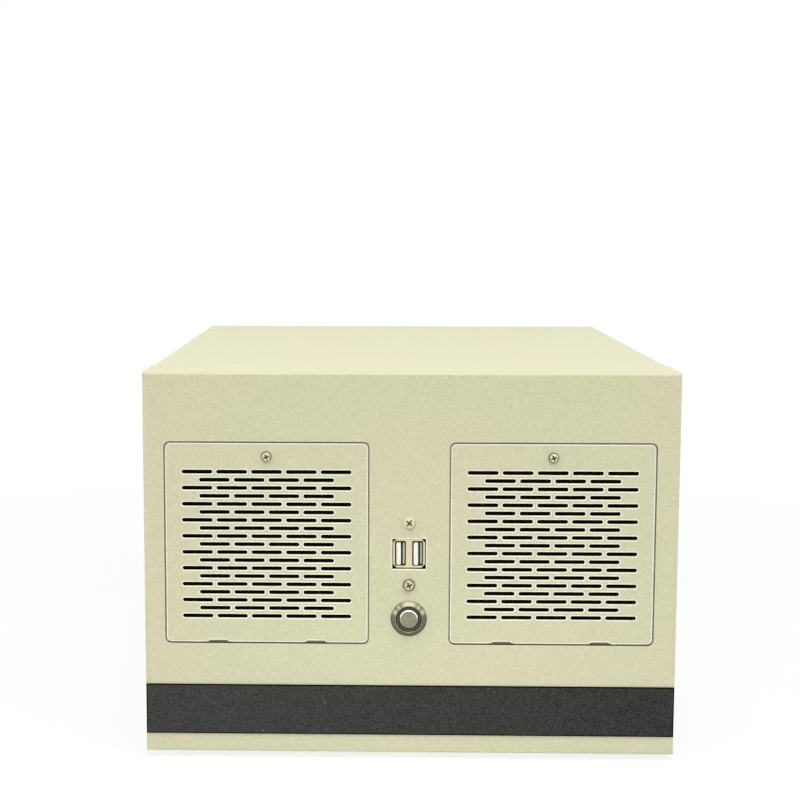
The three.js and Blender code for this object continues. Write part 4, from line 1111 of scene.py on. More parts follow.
@dataclass(frozen=True)
class CircuitBoard(Finish):
    """Solder mask over copper tracks.

    Attributes:
        lanes: how often the tracks come, across and along, in radians to the metre.
        areas: how many broad copper areas there are in a metre.
        copper: how much paler the mask is over copper.
    """

    lanes: tuple[float, float] = (2400.0, 310.0)
    areas: float = 70.0
    copper: float = 1.7

    def dress(self, shader: Shader) -> None:
        """Give broad copper areas under the mask, and fine tracks.

        Args:
            shader: the shader to build in.
        """
        x, y, _ = shader.place()
        across, along = self.lanes
        areas = shader.noise(self.areas).ramp(0.46, 0.54)
        tracks = ((x * across).wave() * (y * along).wave()).ramp(0.1, 0.35) * areas
        pale = (*(min(1.0, part * self.copper) for part in self.plain()), 1.0)
        shader.set(
            Base_Color=shader.mix(tracks * 0.6 + areas * 0.2, linear(self.colour), pale),
            Roughness=self.roughness,
        )
        shader.bump(tracks, 0.03 * MM)


@dataclass(frozen=True)
class Aluminium(Finish):
    """Extruded or cast aluminium.

    Attributes:
        lines: how many lines of its grain lie end to end in a metre.
        drawn: how many times as long as wide the grain is.
        clouds: how many clouds there are in a metre.
    """

    lines: float = 70.0
    drawn: float = 24.0
    clouds: float = 120.0

    def dress(self, shader: Shader) -> None:
        """Give a fine grain along y.

        Args:
            shader: the shader to build in.
        """
        drawn = shader.noise(self.lines, 4.0, shader.stretched(self.drawn, 1.0, self.drawn))
        cloud = shader.noise(self.clouds, 3.0)
        shader.set(
            Base_Color=self.mottled(shader, self.plain(), cloud, 0.08),
            Metallic=1.0,
            Roughness=self.uneven(drawn, 0.16),
        )
        shader.bump(drawn, 0.03 * MM)


@dataclass(frozen=True)
class Rubber(Moulding):
    """Matt rubber, mottled with a little dust."""

    grain: float = 400.0
    detail: float = 3.0
    mottle: float = 0.25
    spread: float = 0.12
    depth: float = 0.06 * MM
    strength: float = 0.4


BEIGE = PaintedSteel("beige_enamel", "d2d2af", "beige_paint", 0.5)
# Painted highlight: a paler copy of the enamel for rounded edges where light catches them.
PAINTED_EDGE_HIGHLIGHT = PaintedSteel("thin_enamel_on_edges", "fbf9e4", "beige_paint", 0.42, warm="fbf6e2")
# Painted shade: a darker copy of the enamel for the hooks in their notches and the disc behind the
# painted screw.
PAINTED_SHADE_ENAMEL = PaintedSteel("rubbed_enamel", "a09977", "beige_paint", 0.5, warm="978f6c")
# Painted shade: a dark copy of the enamel for the walls of gaps, slots and recesses.
PAINTED_SHADE_IN_GAPS = PaintedSteel("grime_in_gaps", "3d3a27", "beige_paint", 0.8, warm="35321f")
BAND = BandFilm("charcoal_film", "343532", "black_band", 0.6)
# Painted shade: a near-black copy of the film for the band's edges.
PAINTED_SHADE_BAND_EDGE = BandFilm("film_edge", "0a0a08", "black_band", 0.7, gloss=0.0, dust=0.0)
ZINC = PlatedSteel("zinc_plate", "b9bbb8", "zinc", 0.38)
TIN = PlatedSteel("tinned_shell", "d9cfac", "stainless", 0.3)
BRIGHT = PlatedSteel("bright_steel", "c9c8c2", "stainless", 0.26)
SPRING = PlatedSteel("spring_steel", "b5b29c", "stainless", 0.4)
# Painted shade: dark steel for the walls of recesses and holes.
PAINTED_SHADE_RECESS = PlatedSteel("stained_recess", "6b674d", "stainless", 0.5)
DARK = Moulding("dark_moulding", "2a2a2a", "dark_plastic", 0.5)
SEAL = Moulding("seal_ring", "43422f", "dark_plastic", 0.5)
# Black plastic in the rear sockets' wells; in the USB mouths it lines the walls as painted shade.
DARK_LINER_AND_PAINTED_SHADE = Moulding("black_liner", "35342b", "dark_plastic", 0.6)
WHITE = Moulding("white_moulding", "f7f6f0", "white_plastic", 0.35)
# Painted shade: a duller steel for the rounded lip of the sockets' shell.
SHADED = PlatedSteel("dull_lip", "918e78", "stainless", 0.4)
GOLD = PlatedSteel("gilt_contact", "d8b45a", "stainless", 0.28)
JACK_BLUE = Moulding("jack_blue", "4f8fc0", "dark_plastic", 0.4)
JACK_GREEN = Moulding("jack_green", "7fb84e", "dark_plastic", 0.4)
JACK_PINK = Moulding("jack_pink", "d98a9c", "dark_plastic", 0.4)
KEY_GREEN = Moulding("key_green", "5f9f80", "dark_plastic", 0.4)
KEY_VIOLET = Moulding("key_violet", "7f6fa8", "dark_plastic", 0.4)
FOAM = Foam("filter_foam", "0f0f0b", "foam", 0.95)
BOARD = CircuitBoard("solder_mask", "1f5a38", "board", 0.4)
CAST = Aluminium("cast_aluminium", "c4c6c8", "aluminium", 0.4)
RUBBER = Rubber("foot_rubber", "1a1a1a", "rubber", 0.85)

BY_SLOT: dict[str, Finish] = {
    finish.slot: finish
    for finish in (BEIGE, BAND, ZINC, BRIGHT, DARK, WHITE, FOAM, BOARD, CAST, RUBBER)
}


# ------------------------------------------------------------------ The solids


BODY_OF: dict[str, str] = {
    node: body
    for body, nodes in frame["record"]["behaviour"]["bodies"].items()
    for node in nodes
}
FINISH_OF: dict[str, Finish] = {
    part["node"]: BY_SLOT[part["material_slot"]] for part in frame["record"]["subparts"]
}


@dataclass
class Carried:
    """A solid whose shape is right: its facets are merged and its edges are rounded a little.

    Attributes:
        node: the solid.
        edge: the width of the rounded edges.
    """

    node: str
    edge: float = 0.15 * MM

    def build(self) -> bpy.types.Object:
        """Copy the solid, merge it and finish it."""
        source = frame["nodes"][self.node]
        piece = bpy.data.objects.new(f"{self.node}_dressed", source.data.copy())
        bpy.context.scene.collection.objects.link(piece)
        with Bench.editing(piece, Part.VERTEX):
            bpy.ops.mesh.select_all(action="SELECT")
            bpy.ops.mesh.remove_doubles(threshold=TOUCH)
            bpy.ops.mesh.dissolve_limited(angle_limit=math.radians(FLAT))
        Bench.round_edges(piece, self.edge, 1)
        return Bench.done(piece, FINISH_OF[self.node], BODY_OF[self.node], self.node)


# ------------------------------------------------------------------ Front panel


@dataclass
class FrontPanel:
    """The folded panel with its door openings, the sockets' window and the screws' holes.

    Attributes:
        fold: the outer radius of its folds.
        fold_steps: how many faces a fold or a door opening's corner has.
        edge: how much its cut edges are rounded.
        window_edge: the worn edge round the sockets' window.
        door_gap: between a door and its opening.
        door_corner: the opening's corner radius.
        socket_gap: between the sockets' shell and their window.
        button_hole: the radius of the push button's hole.
    """

    fold: float = 1.6 * MM
    fold_steps: int = 6
    edge: float = 0.2 * MM
    # window_edge: the width of the flat edge round the sockets' window, which takes painted highlight.
    window_edge: float = 0.45 * MM
    door_gap: float = 0.75 * MM
    door_corner: float = 3.0 * MM
    socket_gap: float = 0.1 * MM
    button_hole: float = 8.3 * MM

    def build(self) -> bpy.types.Object:
        """Fold the shell, cut its openings and finish it."""
        shell = self._shell()
        doors = [self._door_opening(side) for side in Side]
        # The walls of the door openings and holes take a dark enamel as painted shade.
        Bench.cut(shell, *doors, *self._holes(), finish=2)
        Bench.round_edges(shell, self.edge, 2)
        # The window's walls and its flat edge take a pale enamel as painted highlight.
        Bench.cut(shell, self._socket_window(), finish=1)
        Bench.round_edges(shell, self.window_edge, 2, BLUNT, finish=1, worn=True)
        return Bench.done(shell, BEIGE, "chassis", "front_panel", more=(PAINTED_EDGE_HIGHLIGHT, PAINTED_SHADE_IN_GAPS))

    def _shell(self) -> bpy.types.Object:
        """Model the open box with its folded edges."""
        room = Room.of("front_panel")
        shell = Bench.block("front_panel_dressed", room.low, room.high)
        with Bench.editing(shell) as pick:
            pick.facing(0, 1, 0)
            bpy.ops.mesh.delete(type="FACE")
        front = room.low.y + MM
        with Bench.editing(shell, Part.EDGE) as pick:
            pick.edges(lambda edge: within(edge, lambda spot: spot.y < front))
            bpy.ops.mesh.bevel(offset=self.fold, segments=self.fold_steps, affect="EDGES")
        return Bench.modify(shell, "SOLIDIFY", thickness=SHEET, offset=-1, use_even_offset=True)

    def _door_opening(self, side: Side) -> bpy.types.Object:
        """Model the block that cuts a door's opening.

        Args:
            side: which door it is.

        Returns:
            The block.
        """
        room = Room.of(f"filter_door_{side.value}")
        size = room.size.x + 2 * self.door_gap
        middle = Vector((room.middle.x, room.low.y, room.high.z - room.size.x / 2))
        tool = Bench.plate("opening", middle, size, size, -REACH, REACH)
        return round_corners(tool, self.door_corner, self.fold_steps)

    def _socket_window(self) -> bpy.types.Object:
        """Model the block that cuts the window of the sockets."""
        room = Room.of("usb_shell")
        width = room.size.x + 2 * self.socket_gap
        height = room.size.z + 2 * self.socket_gap
        tool = Bench.plate("window", room.front, width, height, -REACH, REACH / 2)
        return round_corners(tool, self.socket_gap, 2)

    def _holes(self) -> list[bpy.types.Object]:
        """Model the rods that cut the round holes."""
        front = Room.of("front_panel").low.y
        sizes = {
            "button_housing": self.button_hole,
            "usb_screw_upper": SCREW_HOLE,
            "usb_screw_lower": SCREW_HOLE,
        }
        holes = []
        for node, radius in sizes.items():
            middle = Room.of(node).middle
            middle.y = front
            holes.append(Bench.rod("hole", middle, radius, 2 * REACH))
        return holes


def round_corners(piece: bpy.types.Object, radius: float, steps: int) -> bpy.types.Object:
    """Round the four edges of a block that run along y.

    Args:
        piece: the block.
        radius: the corners' radius.
        steps: how many faces each corner has.

    Returns:
        The same object.
    """
    with Bench.editing(piece, Part.EDGE) as pick:
        pick.edges(lambda edge: abs(edge_way(edge).y) > ALONG)
        bpy.ops.mesh.bevel(offset=radius, segments=steps, affect="EDGES")
    return piece


def edge_way(edge: bmesh.types.BMEdge) -> Vector:
    """Return which way an edge runs, as a vector of length 1."""
    first, second = edge.verts
    return (first.co - second.co).normalized()


def within(item: Any, wanted: Callable[[Vector], bool]) -> bool:
    """Tell whether all of an edge's or a face's corners are where they are wanted."""
    return all(wanted(vertex.co) for vertex in item.verts)


@dataclass
class BandStrip:
    """The flat dark band across the panel's lower part.

    Attributes:
        edge: the width of its edge, darkened as painted shade.
    """

    edge: float = 0.55 * MM

    def build(self) -> bpy.types.Object:
        """Model the strip."""
        room = Room.of("front_band")
        strip = Bench.block("front_band_dressed", room.low, room.high)
        # All faces but the inner front one take the near-black film as painted shade along the edges.
        Bench.finish_room(strip)
        with Bench.editing(strip) as pick:
            pick.facing(0, -1, 0)
            bpy.ops.mesh.inset(thickness=self.edge)
            bpy.ops.mesh.select_all(action="INVERT")
            pick.give(1)
        return Bench.done(strip, BAND, "chassis", "front_band", more=[PAINTED_SHADE_BAND_EDGE])


# ------------------------------------------------------------------ Filter doors


@dataclass
class FilterDoors:
    """Two square slotted plates, each hooked in below and held by a screw above.

    Attributes:
        corner: a plate's corner radius.
        corner_steps: how many faces a corner has.
        slot_length: each slot's length.
        slot_height: each slot's height.
        slot_steps: how many faces a quarter of a slot's round end has.
        slot_round: the radius of its ends, as a share of its height.
        pitch_x: from slot to slot in a row.
        pitch_z: from row to row.
        long_row: slots in every other row; the rows between have one fewer.
        rows: how many rows there are.
        drop: how far the slots' middle lies below the plate's.
        edge: how much each edge is rounded; the rounded faces take painted highlight.
        tab: the width of a hook.
        tab_spacing: from hook to hook.
        tab_drop: how far a hook reaches down behind the panel.
        tab_edge: how much a hook's edges are rounded.
        tab_bend: the outer radius of its bend, as a share of the sheet's thickness.
        notch: how high the plate is cut out over a hook.
        notch_slope: how much of that height its ends slope.
        behind: from the plate's face to the back of a hook.
        hook_back: how far a hook's front edge lies behind the plate's face.
    """

    corner: float = 2.4 * MM
    corner_steps: int = 6
    slot_length: float = 15.3 * MM
    slot_height: float = 2.0 * MM
    slot_steps: int = 4
    slot_round: float = 0.49
    pitch_x: float = 17.3 * MM
    pitch_z: float = 4.06 * MM
    long_row: int = 5
    rows: int = 19
    drop: float = 0.6 * MM
    edge: float = 0.5 * MM
    tab: float = 10.2 * MM
    tab_spacing: float = 49.0 * MM
    tab_drop: float = 5.0 * MM
    tab_edge: float = 0.15 * MM
    tab_bend: float = 0.9
    notch: float = 0.9 * MM
    notch_slope: float = 0.8
    behind: float = 2.7 * MM
    hook_back: float = 0.7 * MM

    def __post_init__(self) -> None:
        """Find the left plate inside its solid's box."""
        room = Room.of("filter_door_left")
        self.size = room.size.x
        self.middle = Vector((room.middle.x, room.low.y, room.high.z - self.size / 2))
        self.bottom = self.middle - Vector((0, 0, self.size / 2))

    def build(self) -> None:
        """Model the left door, copy it to the right and finish both."""
        step = Room.of("filter_door_right").low - Room.of("filter_door_left").low
        for side, door in Bench.pair(self._model(), "filter_door_{}_dressed", step):
            node = f"filter_door_{side}"
            Bench.done(door, BEIGE, BODY_OF[node], node, more=(PAINTED_EDGE_HIGHLIGHT, PAINTED_SHADE_IN_GAPS))

    def _model(self) -> bpy.types.Object:
        """Model plate, slots and hooks."""
        plate = Bench.plate("door", self.middle, self.size, self.size, 0, SHEET)
        round_corners(plate, self.corner, self.corner_steps)
        screw = Room.of("door_screw_left").middle
        screw.y = self.middle.y
        hole = Bench.rod("hole", screw, SCREW_HOLE, 2 * REACH, sides=24)
        # The walls of the slots, notches and hole take dark enamel as painted shade.
        Bench.cut(plate, *self._slots(), *self._notches(), hole, finish=2)
        # The rounded edges take pale enamel as painted highlight.
        Bench.round_edges(plate, self.edge, 2, finish=1, worn=True)
        Bench.paint(plate, BEIGE, PAINTED_EDGE_HIGHLIGHT, PAINTED_SHADE_IN_GAPS)
        for hook in self._hooks():
            Bench.round_edges(hook, self.tab_edge, 1)
            # The hooks take a darker enamel as painted shade in their notches.
            Bench.paint(hook, PAINTED_SHADE_ENAMEL)
            plate = Bench.merge(plate.name, plate, hook)
        return plate

    def _slots(self) -> list[bpy.types.Object]:
        """Model one slot's cutter and array it into the two sets of rows."""
        fields = []
        long_rows = (self.rows + 1) // 2
        for across, up in ((self.long_row, long_rows), (self.long_row - 1, self.rows - long_rows)):
            left = (across - 1) / 2 * self.pitch_x
            down = (up - 1) * self.pitch_z + self.drop
            first = self.middle - Vector((left, 0, down))
            tool = Bench.plate("slots", first, self.slot_length, self.slot_height, -REACH, REACH)
            round_corners(tool, self.slot_height * self.slot_round, self.slot_steps)
            steps = ((across, (self.pitch_x, 0, 0)), (up, (0, 0, 2 * self.pitch_z)))
            for count, step in steps:
                offset = {"use_relative_offset": False, "use_constant_offset": True}
                Bench.modify(tool, "ARRAY", count=count, constant_offset_displace=step, **offset)
            fields.append(tool)
        return fields

    def _tab_places(self) -> list[Vector]:
        """Return the points of the plate's lower edge over which the hooks' middles lie."""
        half = Vector((self.tab_spacing / 2, 0, 0))
        return [self.bottom - half, self.bottom + half]

    def _notches(self) -> list[bpy.types.Object]:
        """Model the cutters of the notches over the hooks, with sloping ends."""
        tools = []
        for place in self._tab_places():
            tool = Bench.plate("notch", place, self.tab, 2 * self.notch, -SHEET, 2 * SHEET)
            with Bench.editing(tool, Part.EDGE) as pick:
                pick.edges(
                    lambda edge: within(edge, lambda spot: spot.z > place.z)
                    and abs(edge_way(edge).y) > ALONG
                )
                bpy.ops.mesh.bevel(
                    offset=self.notch * self.notch_slope, segments=1, affect="EDGES"
                )
            tools.append(tool)
        return tools

    def _hooks(self) -> list[bpy.types.Object]:
        """Model the two folded hooks under the plate."""
        top = self.bottom.z + self.notch + SHEET
        back = self.middle.y + self.behind
        inner = back - SHEET
        forward = (0, self.middle.y + self.hook_back - inner, 0)
        down = (0, 0, self.bottom.z - self.tab_drop - (top - SHEET))
        near = MM / 10
        hooks = []
        for place in self._tab_places():
            middle = Vector((place.x, back, top - SHEET / 2))
            hook = Bench.plate("hook", middle, self.tab, SHEET, -SHEET, 0)
            with Bench.editing(hook) as pick:
                pick.facing(0, -1, 0)
                bpy.ops.mesh.extrude_region_move(TRANSFORM_OT_translate={"value": forward})
                pick.faces(
                    lambda face: face.normal.z < -ALONG and face.calc_center_median().y > inner
                )
                bpy.ops.mesh.extrude_region_move(TRANSFORM_OT_translate={"value": down})
            with Bench.editing(hook, Part.EDGE) as pick:
                pick.edges(
                    lambda edge: within(edge, lambda spot: spot.z > top - near and spot.y > back - near)
                )
                bpy.ops.mesh.bevel(offset=SHEET * self.tab_bend, segments=4, affect="EDGES")
            hooks.append(hook)
        return hooks


# ------------------------------------------------------------------ Screws


# Points down a pan head, from its middle to its underside: radius and depth, as shares of its
# own radius and thickness.
PAN_HEAD = (
    (0.0, 0.0),
    (0.30, 0.02),
    (0.55, 0.09),
    (0.76, 0.22),
    (0.90, 0.42),
    (0.975, 0.66),
    (1.0, 0.86),
    (0.985, 1.0),
)


@dataclass
class PanScrew:
    """A pan-head screw along y with a cross recess.

    Attributes:
        name: the object's name.
        foot: the middle of its head's top.
        length: from there to its tip.
        finish: what it is made of.
        rim: the radius of its head.
        way: 1 where its head looks to the front, -1 where it looks to the rear.
        turn: how far its recess is turned, in degrees.
        arm: the length of the recess's arms, from tip to tip.
        arm_width: the width of an arm.
        arm_taper: the shares of its length and width that an arm keeps at its foot.
        depth: how deep the recess is.
        stand_off: how far the recess's cutter stands out of the head.
        head: how thick its head is.
        shank: its shank's radius, as a share of its head's.
        edge: how much its sharp edges are rounded.
        crease: edges sharper than this stay sharp in its shading, in degrees.
        recess: what its recess is made of, a dark finish as painted shade.
    """

    name: str
    foot: Vector
    length: float
    finish: Finish
    rim: float
    way: int = 1
    turn: float = 0.0
    arm: float = 4.0 * MM
    arm_width: float = 0.85 * MM
    arm_taper: tuple[float, float] = (0.35, 0.7)
    depth: float = 1.4 * MM
    stand_off: float = 0.2 * MM
    head: float = 1.7 * MM
    shank: float = 0.55
    edge: float = 0.07 * MM
    crease: float = 40.0
    recess: Finish = PAINTED_SHADE_RECESS

    def model(self) -> bpy.types.Object:
        """Spin the screw and cut its recess."""
        shank, end = self.rim * self.shank, self.length
        points = [(radius * self.rim, depth * self.head) for radius, depth in PAN_HEAD]
        points += [(shank, self.head), (shank, end - shank / 2), (shank / 2, end), (0.0, end)]
        points = [(radius, depth * self.way) for radius, depth in points]
        screw = Bench.turned(self.name, self.foot, points)
        for turn in (self.turn, self.turn + 90):
            Bench.cut(screw, self._arm(turn), finish=1)
        return Bench.round_edges(screw, self.edge, 1, BLUNT)

    def build(self, body: str, *nodes: str) -> bpy.types.Object:
        """Model the screw and finish it.

        Args:
            body: the body that it moves with.
            nodes: the solids that it stands for.

        Returns:
            The new object.
        """
        return self.finished(self.model(), body, *nodes)

    def finished(self, screw: bpy.types.Object, body: str, *nodes: str) -> bpy.types.Object:
        """Finish a modelled screw.

        Args:
            screw: the screw.
            body: the body that it moves with.
            nodes: the solids that it stands for.

        Returns:
            The same object.
        """
        more = [self.recess]
        return Bench.done(screw, self.finish, body, *nodes, crease=self.crease, more=more)

    def _arm(self, turn: float) -> bpy.types.Object:
        """Model the cutter of one tapered arm of the recess.

        Args:
            turn: how far it is turned, in degrees.

        Returns:
            The cutter.
        """
        near, far = sorted((-self.stand_off * self.way, self.depth * self.way))
        arm = Bench.plate("arm", self.foot, self.arm, self.arm_width, near, far)
        length, width = self.arm_taper
        with Bench.editing(arm) as pick:
            pick.facing(0, self.way, 0)
            bpy.ops.transform.resize(value=(length, 1, width), center_override=self.foot)
            bpy.ops.mesh.select_all(action="SELECT")
            turned_by = math.radians(turn)
            bpy.ops.transform.rotate(value=turned_by, orient_axis="Y", center_override=self.foot)
        return arm


@dataclass
class FrontScrews:
    """The screws of the doors and of the twin socket.

    Attributes:
        door: the radius of a door's screw head.
        socket: the radius of a socket's screw head.
        askew: how far the painted screw's disc of painted shadow lies to the right of it and below, so
            that a crescent of it shows.
        seat: how thick that disc is.
        stain: where the painted shade at a bare head's rim begins and where it is all, as shares of its
            radius.
    """

    door: float = 2.55 * MM
    socket: float = 3.05 * MM
    askew: float = 0.28 * MM
    seat: float = 0.4 * MM
    stain: tuple[float, float] = (0.6, 0.92)

    def build(self) -> None:
        """Model each where its solid is."""
        for side in Side:
            node = f"door_screw_{side.value}"
            self._bare(node, colour="ddd7ba", rim=self.door, turn=20.0, arm=3.6 * MM)
        self._bare("usb_screw_lower", colour="cfc8a8", rim=self.socket, turn=25.0, arm=4.0 * MM)
        self._painted("usb_screw_upper")

    def _painted(self, node: str) -> None:
        """Model the painted screw with a disc of painted shadow behind its lower right edge.

        Args:
            node: the solid it stands for.
        """
        room = Room.of(node)
        # A darker disc behind the head, set off to the lower right, paints a crescent of shadow beside
        # it.
        spot = room.front + Vector((self.askew, 0, -self.askew))
        spot.y = Room.of("front_panel").low.y
        seat = Bench.rod(f"{node}_seat", spot, self.socket, self.seat)
        Bench.done(seat, PAINTED_SHADE_ENAMEL, BODY_OF[node])
        # Its recess takes dark enamel as painted shade.
        screw = PanScrew(
            f"{node}_dressed",
            room.front,
            room.size.y,
            BEIGE,
            self.socket,
            turn=50.0,
            arm=4.6 * MM,
            arm_width=0.65 * MM,
            recess=PAINTED_SHADE_IN_GAPS,
        )
        screw.build(BODY_OF[node], node)

    def _bare(self, node: str, colour: str, rim: float, turn: float, arm: float) -> None:
        """Model an unpainted screw.

        Args:
            node: the solid it stands for.
            colour: its colour as six hex digits.
            rim: the radius of its head.
            turn: how far its recess is turned, in degrees.
            arm: the length of the recess's arms.
        """
        room = Room.of(node)
        foot = room.front
        # Where the painted shade at the head's rim lies.
        worn = tuple(rim * share for share in self.stain)
        name = f"{node}_steel"
        steel = TurnedSteel(name, colour, "stainless", 0.3, foot.x, foot.z, "5a563d", worn, 0.5)
        screw = PanScrew(f"{node}_dressed", foot, room.size.y, steel, rim, turn=turn, arm=arm)
        screw.build(BODY_OF[node], node)


# ------------------------------------------------------------------ Twin socket


@dataclass
class UsbSocket:
    """Two upright USB mouths in one shell with cut-off corners.

    Attributes:
        chamfer: how much its corners are cut off.
        lip: how much its outer edge is rounded; the rounding takes painted shade.
        set_back: how far it lies behind the solid's front.
        mouth_width: a mouth's width.
        mouth_height: a mouth's height.
        mouth_depth: how deep it is.
        pitch: from mouth to mouth.
        liner: the wall of the dark lining in a mouth, which is painted shade.
        spring: the width of the spring strip in a mouth.
        spring_length: how far the strip reaches in.
        spring_inset: how far its ends lie from the mouth's top and bottom.
        tongue_edge: how much the edges of a tongue are rounded.
        contact_pitch: from contact to contact.
        contact_width: a contact's width.
        contact_sunk: how far it is sunk into its tongue.
        contact_rise: how far it stands off its tongue.
        contact_edge: how much its edges are rounded, and how far it ends before its tongue.
    """

    chamfer: float = 2.0 * MM
    lip: float = 0.35 * MM
    set_back: float = 1.6 * MM
    mouth_width: float = 5.5 * MM
    mouth_height: float = 12.6 * MM
    mouth_depth: float = 13.0 * MM
    pitch: float = 8.6 * MM
    liner: float = 0.4 * MM
    spring: float = 1.35 * MM
    spring_length: float = 9.0 * MM
    spring_inset: float = 0.8 * MM
    tongue_edge: float = 0.25 * MM
    contact_pitch: float = 2.3 * MM
    contact_width: float = 1.0 * MM
    contact_sunk: float = 0.05 * MM
    contact_rise: float = 0.2 * MM
    contact_edge: float = 0.1 * MM

    def __post_init__(self) -> None:
        """Find the left mouth's lowest and highest corners."""
        self.room = Room.of("usb_shell")
        middle = self.room.middle - Vector((self.pitch / 2, 0, 0))
        reach = Vector((self.mouth_width / 2, 0, self.mouth_height / 2))
        self.low, self.high = middle - reach, middle + reach
        self.low.y = self.room.low.y + self.set_back
        self.high.y = self.low.y + self.mouth_depth

    def build(self) -> None:
        """Model the shell and what is in the left mouth, and copy that to the right one."""
        self._shell()
        models = (
            # The mouths' dark lining is painted shade.
            (self._lining(), "usb_lining_{}", DARK_LINER_AND_PAINTED_SHADE),
            (self._spring(), "usb_spring_{}", SPRING),
            (self._tongue(), "usb_tongue_{}_dressed", WHITE, "usb_tongue_{}"),
            (self._contacts(), "usb_contacts_{}", ZINC),
        )
        for model in models:
            self._both(*model)

    def _both(self, piece: bpy.types.Object, name: str, finish: Finish, *nodes: str) -> None:
        """Copy a piece of the left mouth to the right one and finish both.

        Args:
            piece: the left piece.
            name: the name of both, with braces where the side goes.
            finish: what they are made of.
            nodes: the solids that they stand for, named in the same way.
        """
        for side, twin in Bench.pair(piece, name, (self.pitch, 0, 0)):
            Bench.done(twin, finish, "chassis", *(node.format(side) for node in nodes))

    def _shell(self) -> bpy.types.Object:
        """Model the shell with its two mouths."""
        front = self.room.low + Vector((0, self.set_back, 0))
        shell = Bench.block("usb_shell_dressed", front, self.room.high)
        round_corners(shell, self.chamfer, 1)
        # The rounded lip takes a duller steel as painted shade.
        Bench.round_edges(shell, self.lip, 3, finish=1)
        left = Bench.block("mouth", self.low - Vector((0, MM, 0)), self.high)
        round_corners(left, SHEET / 2, 3)
        mouths = [mouth for _, mouth in Bench.pair(left, "mouth_{}", (self.pitch, 0, 0))]
        Bench.cut(shell, *mouths)
        return Bench.done(shell, TIN, "chassis", "usb_shell", more=[SHADED])

    def _lining(self) -> bpy.types.Object:
        """Model the dark lining of a mouth, a sheet of painted shade."""
        wall = Vector((self.liner, self.liner, self.liner))
        start = Vector((0, 2 * self.liner, 0))
        lining = Bench.block("lining", self.low + start, self.high)
        hollow = Bench.block("hollow", self.low + wall - start, self.high - wall)
        return Bench.cut(lining, round_corners(hollow, self.liner, 3))

    def _spring(self) -> bpy.types.Object:
        """Model the bent spring strip at a mouth's right."""
        right = self.high.x - self.liner
        near = self.low.y + self.liner
        foot = (right - self.spring, near, self.low.z + self.spring_inset)
        top = (right, self.low.y + self.spring_length, self.high.z - self.spring_inset)
        spring = Bench.block("spring", foot, top)
        with Bench.editing(spring, Part.EDGE) as pick:
            pick.edges(lambda edge: within(edge, lambda spot: spot.y < near + MM / 2))
            bpy.ops.mesh.bevel(offset=self.spring / 3, segments=3, affect="EDGES")
        return spring

    def _tongue(self) -> bpy.types.Object:
        """Model a mouth's tongue."""
        room = Room.of("usb_tongue_left")
        tongue = Bench.block("tongue", room.low, room.high)
        round_corners(tongue, 2 * self.tongue_edge, 3)
        return Bench.round_edges(tongue, self.tongue_edge, 2)

    def _contacts(self) -> bpy.types.Object:
        """Model the four contacts on a tongue."""
        room = Room.of("usb_tongue_left")
        face = room.high.x
        low = Vector((face - self.contact_sunk, room.low.y + MM, room.middle.z))
        high = Vector((face + self.contact_rise, room.high.y - self.contact_edge, room.middle.z))
        rise = Vector((0, 0, self.contact_pitch))
        half = Vector((0, 0, self.contact_width / 2))
        lowest = Bench.block("contact", low - rise * 1.5 - half, high - rise * 1.5 + half)
        Bench.round_edges(lowest, self.contact_edge, 1)
        others = [Bench.copy(lowest, "contact", rise * count) for count in (1, 2, 3)]
        return Bench.merge("contacts", lowest, *others)


# ------------------------------------------------------------------ Push button


